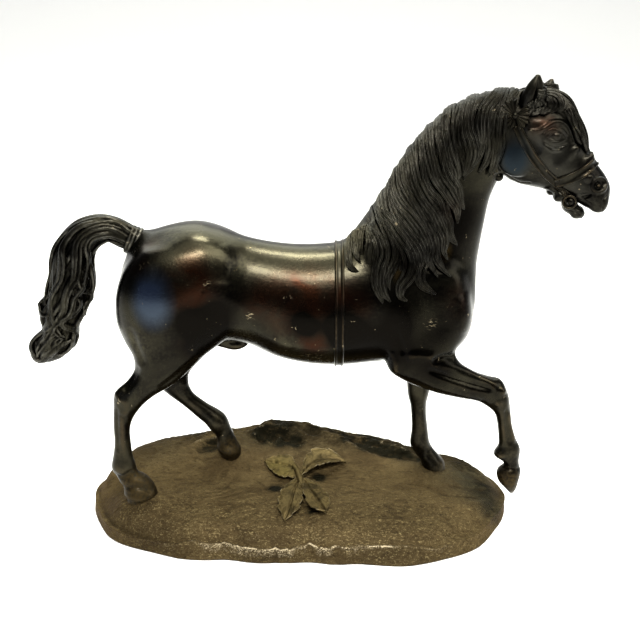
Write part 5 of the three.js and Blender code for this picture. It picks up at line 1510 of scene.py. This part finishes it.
def groundPatina():
    paint = Paint("ground_patina")
    cloud = paint.noise(26.0, 6.0, 0.62, 0.5)
    strokes = paint.noise(95.0, 5.0, 0.62, 1.4, place=paint.stretch((0.62, 1.25, 1.0), (0.0, 0.0, 0.5)))
    # fine streaks left by the tool
    combed = paint.noise(820.0, 4.0, 0.7, 1.0, place=paint.stretch((0.6, 1.2, 1.0), (0.0, 0.0, 0.5)))
    fine = paint.noise(760.0, 4.0, 0.7)
    sand = paint.noise(1250.0, 3.0, 0.65)
    deep = paint.node("ShaderNodeSeparateXYZ", output="Y", Vector=paint.place)
    color = paint.mix(paint.step(cloud + strokes, 0.80, 1.16), earthColors["middle"], earthColors["high"])
    green = paint.places(earthColors["greened"]) * paint.step(cloud + strokes, 0.72, 1.08)
    color = paint.mix(paint.clamp(green), color, earthColors["green"])
    color = paint.mix(paint.clamp(paint.places(earthColors["darkFront"])) * 0.5, color, earthColors["low"])
    color = paint.mix(paint.step(strokes, 0.46, 0.32) * 0.4, color, earthColors["low"])
    color = paint.mix(paint.step(combed + fine * 0.4, 0.68, 0.52) * 0.85, color, earthColors["low"])
    fleck = paint.step(combed + fine * 0.4 + sand * 0.2, 0.84, 0.98)
    fleck = fleck * (0.16 + 0.40 * paint.step(deep, 0.012, -0.045))
    color = paint.mix(fleck * paint.step(cloud, 0.25, 0.55), color, earthColors["grain"])
    # the back of the ground is darker, and painted shade fills its recesses
    back = paint.step(deep, 0.014, 0.042) * paint.step(cloud + strokes * 0.8, 1.25, 0.75)
    color = paint.mix(back * 0.8, color, earthColors["low"])
    shade = paint.step(cloud * 0.6 + strokes + combed * 0.6, 1.50, 0.92)
    # painted shade: the recesses take the near-black rock colour
    recessShadeMask = paint.clamp(paint.places(earthColors["paintedRecessShade"]) * 2.2 * shade)
    color = paint.mix(recessShadeMask, color, earthColors["rock"])
    ridge = paint.node("ShaderNodeAttribute", {"attribute_name": "ridge"}, output="Fac")
    # painted shade: hollows and the wall under the lip, where the ridge value is under 0, turn darker
    color = paint.mix(paint.step(ridge, -0.08, -0.55) * 0.85, color, earthColors["low"])
    # worn metal shows in grains, and whole where an edge is sharp
    grains = paint.step(sand + combed * 0.5, 0.68, 0.86)
    shown = paint.math("MAXIMUM", grains, paint.step(ridge, 0.85, 1.25) * 0.7)
    wear = paint.step(ridge + (fine - 0.5), 0.30, 0.85) * shown
    color = paint.mix(wear, color, earthColors["gold"])
    roughness = 0.60 + (fine - 0.5) * 0.25 - wear * 0.22
    height = fine * 0.8 + sand * 0.4 + strokes + combed * 0.9
    return paint.finish(color, roughness, height, 0.5, metallic=0.75, edge=(0.40, 0.34, 0.25))


def leafPatina():
    paint = Paint("leaf_patina")
    cloud = paint.noise(110.0, 5.0, 0.6, 0.4)
    fine = paint.noise(700.0, 3.0, 0.6)
    color = paint.mix(paint.step(cloud, 0.34, 0.60), earthColors["leafDark"], earthColors["leaf"])
    bright = paint.clamp(paint.near((-16, 4, 32), 20) * 1.6) * paint.step(cloud + fine * 0.4, 0.46, 0.70)
    color = paint.mix(bright, color, earthColors["leafBright"])
    ridge = paint.node("ShaderNodeAttribute", {"attribute_name": "ridge"}, output="Fac")
    wear = paint.step(ridge, 0.35, 1.1) * paint.step(paint.noise(180.0, 4.0, 0.7), 0.42, 0.62)
    color = paint.mix(wear * 0.45, color, earthColors["gold"])
    roughness = 0.48 + (fine - 0.5) * 0.2 - wear * 0.1
    height = fine * 0.7 + cloud * 0.4
    return paint.finish(color, roughness, height, 0.25, metallic=0.8, edge=(0.5, 0.44, 0.3))


earthPatina, sprigPatina = groundPatina(), leafPatina()
# the rim's values hold wear and, under 0, the painted shade on the wall under the lip
(points, faces), wear = makeGround()
# bent edges are worn up to a limit, which is highest on the front of the bank; hollows give values under 0,
# which the ground's patina turns into painted shade
y = points[:, 1]
limit = 0.15 + 0.45 * smooth(10, 40, y) * (1 - smooth(44, 54, y))
bend = np.minimum(ridges(points, faces, 2) * 4, limit)
makePiece("ground", [(points, faces)], earthPatina, "ground_base", bend + wear)
leaves = [makeLeaf(leaf, k) for k, leaf in enumerate(sprig["leaves"])]
stations = sprig["stalkStations"]
stalk = resampled([(x, y, groundHeight(x, y) + lift) for x, y, lift in sprig["stalk"]], stations)[None]
outs = np.tile((0.0, 0.0, 1.0), (1, stations, 1))
thick = np.interp(np.linspace(0, 1, stations), sprig["stalkShares"], sprig["stalkThick"])[None]
points, faces, worth = sweep(stalk, outs, thick, thick, sides=14)
makePiece("leaf_sprig", [leaf for leaf, _ in leaves] + [(points, faces)], sprigPatina, "ground_base",
          np.concatenate([worth for _, worth in leaves] + [worth * 0.4]))
print("ground and leaves made")

# Room, light and camera
studio = {
    "floor": (0.82, 0.82, 0.81), "glow": 0.50, "air": (0.95, 0.97, 1.0), "airStrength": 0.14,
    # the floor runs level to its foot, rises in a quarter round, and stands up to its top
    "floorHalf": 6.0, "floorMiddle": -2.0, "floorFoot": 1.6, "floorRound": 1.2, "floorTop": 5.0,
    "sensor": 36.0, "lens": 54.56, "camera": (0.0148, -0.6087, 0.3423), "cameraTilt": 72,
    # lights: place, aimed at, size, power, colour
    "lights": [
        ((0.0, -0.86, 1.22), (0.0, 0.0, 0.15), (0.42, 0.18), 23, (1.0, 0.97, 0.92)),
        ((0.0, 0.16, 1.36), (0.0, 0.0, 0.15), (0.45, 0.12), 15, (1.0, 0.99, 0.92)),
        ((0.0, 0.85, 1.50), (0.0, 0.0, 0.15), (2.4, 1.1), 36, (0.97, 1.0, 0.90)),
        ((-0.48, -0.62, 0.21), (-0.16, 0.0, 0.18), (0.56, 0.42), 0.35, (0.45, 0.58, 1.0)),
        ((0.9, -0.3, 0.5), (0.1, 0.0, 0.2), (0.4, 0.6), 3, (1.0, 1.0, 1.0)),
        ((0.52, -0.44, 0.96), (0.0, 0.0, 0.18), (0.6, 0.5), 7.0, (1.0, 0.99, 0.90)),
        ((0.0, -0.46, 1.40), (0.0, 0.0, 0.15), (1.5, 0.9), 7.0, (0.98, 1.0, 0.90)),
    ],
}


def stagePiece(name, points, faces, color):
    mesh = bpy.data.meshes.new(name)
    mesh.from_pydata(points, [], faces)
    mesh.shade_smooth()
    paint = Paint(name)
    tone = paint.mix(paint.noise(3.0, 2.0), color, tuple(c * 0.98 for c in color))
    shader = paint.node("ShaderNodeBsdfPrincipled", Base_Color=tone, Roughness=0.8,
                        Emission_Color=(*color, 1), Emission_Strength=studio["glow"])
    paint.node("ShaderNodeOutputMaterial", Surface=shader)
    mesh.materials.append(paint.material)
    piece = bpy.data.objects.new(name, mesh)
    bpy.context.collection.objects.link(piece)


wide, foot, bend = studio["floorHalf"], studio["floorFoot"], studio["floorRound"]
floorLine = [(y, 0.0) for y in (-wide, studio["floorMiddle"], foot)]
for angle in np.linspace(0.1, math.pi / 2, 12):
    floorLine.append((foot + bend * math.sin(angle), bend - bend * math.cos(angle)))
floorLine.append((foot + bend, studio["floorTop"]))
floorPoints = [(x, y, z) for y, z in floorLine for x in (-wide, wide)]
floorFaces = [(2 * i, 2 * i + 1, 2 * i + 3, 2 * i + 2) for i in range(len(floorLine) - 1)]
stagePiece("studio_floor", floorPoints, floorFaces, studio["floor"])
for number, (place, target, size, power, color) in enumerate(studio["lights"]):
    lamp = bpy.data.lights.new(f"softbox_{number}", "AREA")
    lamp.shape, lamp.size, lamp.size_y, lamp.energy, lamp.color = "RECTANGLE", size[0], size[1], power, color
    light = bpy.data.objects.new(lamp.name, lamp)
    light.location = place
    aim = np.array(target) - np.array(place)
    light.rotation_euler = Vector(aim).to_track_quat("-Z", "Y").to_euler()
    light.visible_camera = False
    bpy.context.collection.objects.link(light)
world = bpy.data.worlds.new("studio_air")
world.use_nodes = True
air = world.node_tree.nodes["Background"]
air.inputs["Color"].default_value = (*studio["air"], 1)
air.inputs["Strength"].default_value = studio["airStrength"]
bpy.context.scene.world = world
bpy.context.scene.view_settings.view_transform = "Standard"

lens = bpy.data.cameras.new("photo_view")
lens.sensor_width, lens.lens = studio["sensor"], studio["lens"]
camera = bpy.data.objects.new("photo_view", lens)
camera.location = studio["camera"]
camera.rotation_euler = (math.radians(studio["cameraTilt"]), 0, 0)
bpy.context.collection.objects.link(camera)
bpy.context.scene.camera = camera
print("studio lit")
